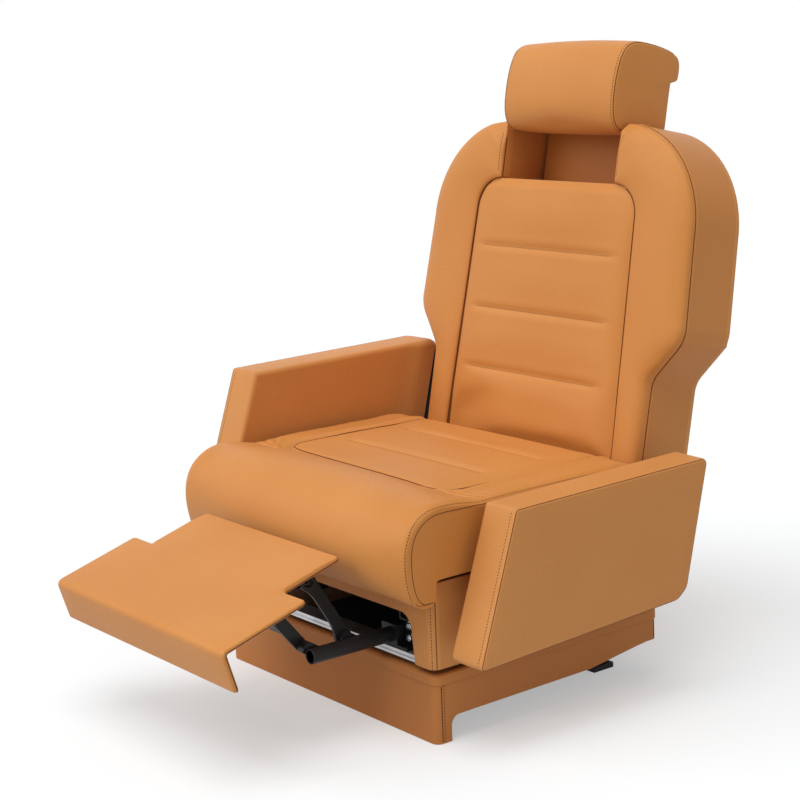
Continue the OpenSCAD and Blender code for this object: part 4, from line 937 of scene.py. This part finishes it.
def arm(side):
    name = SIDE_NAME[side]
    rise = np.array([0, math.sin(ARM_LEAN), math.cos(ARM_LEAN)]) * (ARM_TRAVEL if side < 0 else 0.0)
    outline = rounded_outline(ARM_CORNERS, (5, 4, 3, 4, 16, 16), 9.0)
    away = outward(outline)
    centre = (outline.max(0) + outline.min(0)) / 2
    half = (outline.max(0) - outline.min(0)) / 2

    def shrunk(d):
        return centre + (outline - centre) * (1 - d / half)

    # the edges of the inner face are rounded more softly than those of the outer face
    angles = np.radians((0, 15, 30, 45, 60, 75, 90))
    soft, crisp = 7.5, 4.0
    deep = (1.5, 4, 7, 11, 16, 22, 29, 38, 50, 62)
    rings = [(shrunk(soft + d), ARM_IN) for d in deep][::-1]
    rings += [(shrunk(soft - soft * math.sin(a)), ARM_IN + soft - soft * math.cos(a)) for a in angles]
    rings += [(outline + away * 0.7 * math.sin(math.pi * t),
               ARM_IN + soft + (ARM_OUT - ARM_IN - soft - crisp) * t) for t in np.linspace(0.06, 0.94, 12)]
    rings += [(shrunk(crisp - crisp * math.sin(a)), ARM_OUT - crisp + crisp * math.cos(a))
              for a in angles[::-1]]
    rings += [(shrunk(crisp + d), ARM_OUT + 0.8 * math.sin(min(1.0, d / 40) * math.pi / 2)) for d in deep]
    grid = set_across([x for _, x in rings], np.stack([p for p, _ in rings]))
    # the inner face is padded out over the buffer strip at its rear edge
    x, y, z = np.moveaxis(grid, -1, 0)
    rear_y, rear_z = ARM_CORNERS[3]
    ahead = rear_y - (rear_z - z) * ARM_REAR_SLOPE - y
    tall = smooth(150, 215, z)
    grid[..., 1] += 6.5 * smooth(ARM_IN + 30, ARM_IN + 10, x) * smooth(16, 0, ahead) * tall
    grid[..., 0] -= 4.2 * smooth(ARM_IN + 14, ARM_IN, x) * smooth(52, 24, ahead) * tall * smooth(347, 336, z)
    # the arm's leather is the lighter board copy, painted light
    obj = grid_object(f"arm_panel_{name}_cover", grid * (side, 1, 1) + rise, TAN_BOARD_LIT, f"arm_{name}", 80)
    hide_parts(f"arm_panel_{name}")
    # the buffer strip stands out a little further and lower than its metal core
    tail = rounded_outline([(162, 190), (187.4, 190), (223.5, 337), (198, 337)], (3, 6, 3, 1), 6.0)
    strip = set_across((290.8, 293.8), np.stack([tail, tail])) * (side, 1, 1) + rise
    make(f"arm_buffer_{name}", strip.reshape(-1, 3), grid_faces(2, len(tail)), BLACK, f"arm_{name}")
    on_arm = Surface(obj)
    sewn = Sewing(f"arm_{name}", f"arm_{name}")
    loop = np.concatenate([outline, outline[:1]])
    sewn.seam(set_across([side * (ARM_OUT - 1.2)], loop[None])[0] + rise, on_arm, 0.55, 0.0)
    low, top = np.array(ARM_CORNERS[0]), np.array(ARM_CORNERS[1])
    line = np.linspace(low + (top - low) * 0.03, top - (top - low) * 0.03, 20)
    sewn.stitches(set_across([side * (ARM_OUT - 9.5)], line[None])[0] + rise, on_arm)
    sewn.finish()


for side in (-1, 1):
    arm(side)

# ---- leg rest


def bend_rest(p):
    """Bends a flat leg rest (x, t along its face, h) over its front fold."""
    x, t, h = p.T
    arc = FOLD_R * math.pi / 2
    t0 = FOLD_R - arc / 2
    phi = np.clip((t0 + arc / 2 - t) / arc, 0, 1) * math.pi / 2
    before = np.minimum(0, t - (t0 - arc / 2))
    rear = np.maximum(0, t - (t0 + arc / 2))
    y = FOLD_R - (FOLD_R + h) * np.sin(phi) + rear
    z = -FOLD_R + (FOLD_R + h) * np.cos(phi) + before
    return leaned(x, y, z, -REST_SLOPE, FOLD_Y, FOLD_Z)


def legrest():
    lip = -LIP + (FOLD_R * math.pi / 2 - FOLD_R)
    pts = [(-REST_HALF, lip), (REST_HALF, lip), (REST_HALF, REST_WIDE), (NECK_HALF, REST_WIDE),
           (NECK_HALF, REST_L), (-NECK_HALF, REST_L), (-NECK_HALF, REST_WIDE), (-REST_HALF, REST_WIDE)]
    outline = rounded_outline(pts, (5, 5, 7, 7, 6, 6, 7, 7), 8.0)
    bm = bmesh.new()
    low = [bm.verts.new((*p, -REST_T)) for p in outline]
    high = [bm.verts.new((*p, 0)) for p in outline]
    bm.faces.new(low[::-1])
    bm.faces.new(high)
    for i in range(len(low)):
        j = (i + 1) % len(low)
        bm.faces.new((low[i], low[j], high[j], high[i]))
    bm.normal_update()
    rims = [e for e in bm.edges if e.calc_face_angle(0.0) > 1.2]
    bmesh.ops.bevel(bm, geom=rims, offset=RIM_R, segments=4, profile=0.5, affect="EDGES", clamp_overlap=True)
    # cuts close together over the fold and wider elsewhere, so that the flat panel bends smoothly
    planes = [((0, t, 0), (0, 1, 0))
              for t in (*np.arange(-9, 22, 1.5), *np.arange(-60, -10, 10), *np.arange(24, 236, 7))]
    planes += [((x, 0, 0), (1, 0, 0)) for x in np.arange(-210, 211, 14)]
    for point, across in planes:
        geom = bm.verts[:] + bm.edges[:] + bm.faces[:]
        bmesh.ops.bisect_plane(bm, geom=geom, plane_co=point, plane_no=across, dist=1e-4)
    bmesh.ops.triangulate(bm, faces=[f for f in bm.faces if len(f.verts) > 4])
    p = np.array([v.co[:] for v in bm.verts])
    x, t, h = p.T
    # the padding stands up a little inside the edges, and draws in where the neck begins
    gap = np.minimum.reduce([REST_HALF - np.abs(x), t - lip, REST_L - t])
    neck = np.maximum(np.abs(x) - NECK_HALF, 0) * (t > REST_WIDE - 40)
    rim = np.where(neck > 0, np.minimum(gap, REST_WIDE - t), gap)
    h += np.where(h > REST_UPPER, REST_PUFF * smooth(2, 30, rim), 0)
    for sx in (-1, 1):
        d = np.hypot((x - sx * (NECK_HALF - 8)) / 30, (t - REST_WIDE) / 3.5)
        h += np.where(h > REST_UPPER, -1.2 * np.exp(-d ** 2), 0)
    for v, q in zip(bm.verts, bend_rest(p) * MM):
        v.co = q
    bmesh.ops.recalc_face_normals(bm, faces=bm.faces)
    obj = bm_object(bm, "legrest_cover", TAN, "legrest", 65)
    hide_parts("legrest_panel")
    # seam round the rim, a little below the upper face
    path, tip = (bend_rest(np.concatenate([np.concatenate([loop, loop[:1]]),
                                           np.full((len(loop) + 1, 1), RIM_SEAM)], 1))
                 for loop in (outline, outline + outward(outline)))
    sewn = Sewing("legrest", "legrest")
    sewn.tube("seams", path, unit(tip - path), 0.75, 0.0)
    sewn.finish()


legrest()

# ---- plinth and box

# the plinth's darker leather is painted shade
on_plinth = Surface(*[soften(node, 1.4, TAN_BASE_SHADED) for node in PLINTH_NODES])
# the box boards use the lighter board copy, painted light
box = [soften("box_front", 2.0)]
# the side and rear boards end lower, which leaves the dark gap under the cushion
box += [soften(node, 1.6, drop=6.5) for node in ("box_left", "box_right", "box_rear")]
on_box = Surface(*box[:3])
sew = Sewing("box", "seat")
for side in (-1, 1):
    sew.seam([(side * 262.4, -216, z) for z in (112, 160, 200, 235)], on_box, 0.6, 0.05)
    sew.stitches([(side * 257.5, -222.4, z) for z in (112, 160, 200, 232)], on_box)
sew.finish()
sew = Sewing("plinth", "base")
for side in (-1, 1):
    line = [(side * 255.2, -205, z) for z in (3, 30, 60, 82)]
    sew.seam(line, on_plinth, 0.8, 0.05)
    sew.stitches([(x, y + 4.5, z) for x, y, z in line], on_plinth)
    sew.seam([(side * 255.2, 206.5, z) for z in (54, 66, 82)], on_plinth, 0.8, 0.05)
sew.finish()

# ---- metal nodes and small fittings

for name, obj in NODES.items():
    if obj.hide_render:
        continue
    look = SLOT_LOOK[next(s["material_slot"] for s in frame["record"]["subparts"] if s["node"] == name)]
    if name == "back_mat":
        look = RUBBER
    obj.data.materials.clear()
    obj.data.materials.append(look)
    edge = obj.modifiers.new("edge", "BEVEL")
    edge.width = 0.0006
    edge.segments = 2
    edge.limit_method = "ANGLE"
    edge.angle_limit = math.radians(35)


def lathe(name, profile, centre, axis, body, slot="zinc", sides=32):
    """A turned piece: profile of (radius, height) along an axis through its centre, all in mm."""
    axis = Vector(axis).normalized()
    turn = axis.to_track_quat("Z", "Y").to_matrix()
    a = np.arange(sides) * 2 * math.pi / sides
    rings = []
    for r, h in profile:
        ring = np.stack([max(r, 0.05) * np.cos(a), max(r, 0.05) * np.sin(a), np.full(sides, h)], 1)
        rings.append(ring @ np.array(turn).T + centre)
    make(name, np.concatenate(rings), grid_faces(len(rings), sides), SLOT_LOOK[slot], body, 35)


WASHER = [(4.2, 0), (8.3, 0), (8.6, 0.3), (8.6, 1.1), (8.3, 1.4), (4.2, 1.4)]
BOLT = [(0.1, 0), (6.2, 0), (6.4, 0.3), (6.4, 1.0), (5.4, 1.2), (5.4, 4.2), (4.9, 4.7), (3.1, 4.7),
        (2.9, 4.4), (2.9, 2.6), (0.1, 2.4)]
CAP = [(10.9, 0.0), (10.6, 0.7), (10.1, 1.0), (9.2, 0.9), (9.0, 0.25), (8.6, 0), (0.1, 0)]
for side, tag in SIDE_NAME.items():
    # bright rings on the lower pins, between lug and link
    for label, x, y, z in (("front", 129.2, -344, 144), ("rear", 131.1, -280, 144)):
        lathe(f"pin_ring_{label}_{tag}", WASHER, (side * x, y, z), (side, 0, 0), "legrest_tubes")
    # bolts of the front and rear rail's brackets
    for row, z in enumerate((132.2, 149.0)):
        for label, y in (("front", -194.2), ("rear", 167.8)):
            lathe(f"rail_bolt_{label}_{row}_{tag}", BOLT, (side * 178, y, z), (0, -1, 0), "seat", sides=24)
    lathe(f"cap_face_{tag}", CAP, (side * 150, -345.6, 134), (0, -1, 0), "legrest_tubes", "end_cap", 40)

# ---- floor, light and camera

FLOOR_HALF, FLOOR_GAP = 12.0, 0.0005  # in metres


def seen_rays(tree):
    """1 for rays from the camera, off gloss and through glass, 0 for the rest."""
    path = tree.nodes.new("ShaderNodeLightPath")
    seen = path.outputs["Is Camera Ray"]
    for name in ("Is Glossy Ray", "Is Transmission Ray"):
        either = tree.nodes.new("ShaderNodeMath")
        either.operation = "MAXIMUM"
        tree.links.new(seen, either.inputs[0])
        tree.links.new(path.outputs[name], either.inputs[1])
        seen = either.outputs[0]
    return seen


def stage_floor():
    """White floor, glowing a little to the camera."""
    data = bpy.data.meshes.new("floor")
    corners = [(x * FLOOR_HALF, y * FLOOR_HALF, 0) for x, y in ((-1, -1), (1, -1), (1, 1), (-1, 1))]
    data.from_pydata(corners, [], [(0, 1, 2, 3)])
    floor = place("floor", data)
    floor.location.z = -FLOOR_GAP
    k = Look("floor_white")
    k.set(Base_Color=(0.6, 0.62, 0.63, 1), Roughness=0.9, Specular_IOR_Level=0.1)
    k.set(Emission_Color=(1, 1, 1, 1), Emission_Strength=k.range(seen_rays(k.tree), 0, 1, 0, 0.4))
    data.materials.append(k.mat)


def world():
    """White to the camera and in reflections, dimmer as light."""
    w = bpy.data.worlds.new("studio")
    bpy.context.scene.world = w
    w.use_nodes = True
    tree = w.node_tree
    back = tree.nodes["Background"]
    back.inputs["Color"].default_value = (1, 1, 1, 1)
    strength = tree.nodes.new("ShaderNodeMapRange")
    strength.inputs["To Min"].default_value = 0.32
    strength.inputs["To Max"].default_value = 1.0
    tree.links.new(seen_rays(tree), strength.inputs["Value"])
    tree.links.new(strength.outputs["Result"], back.inputs["Strength"])


def sun(name, toward, strength, angle):
    """A soft distant light that comes from the given direction."""
    light = bpy.data.lights.new(name, "SUN")
    light.energy = strength
    light.angle = math.radians(angle)
    obj = place(name, light)
    obj.rotation_mode = "QUATERNION"
    obj.rotation_quaternion = Vector(toward).to_track_quat("Z", "Y")


def camera():
    data = bpy.data.cameras.new("camera")
    data.sensor_width = 36.0
    data.lens = 82.218
    data.clip_end = 60.0
    obj = place("camera", data)
    right = Vector((0.61793634, 0.78529475, -0.03829921))
    up = Vector((-0.13015591, 0.15021512, 0.98004839))
    ahead = Vector((-0.77537998, 0.60062265, -0.19503414))
    turn = Matrix((right, up, -ahead)).transposed()
    obj.matrix_world = Matrix.Translation((2.096392, -1.682929, 0.951930)) @ turn.to_4x4()
    bpy.context.scene.camera = obj


stage_floor()
world()
sun("top", (0.18, -0.27, 0.94), 1.5, 42)
sun("front", (-0.42, -0.74, 0.54), 1.22, 50)
sun("right", (0.9, -0.3, 0.3), 0.24, 60)
camera()
bpy.context.scene.view_settings.view_transform = "Standard"
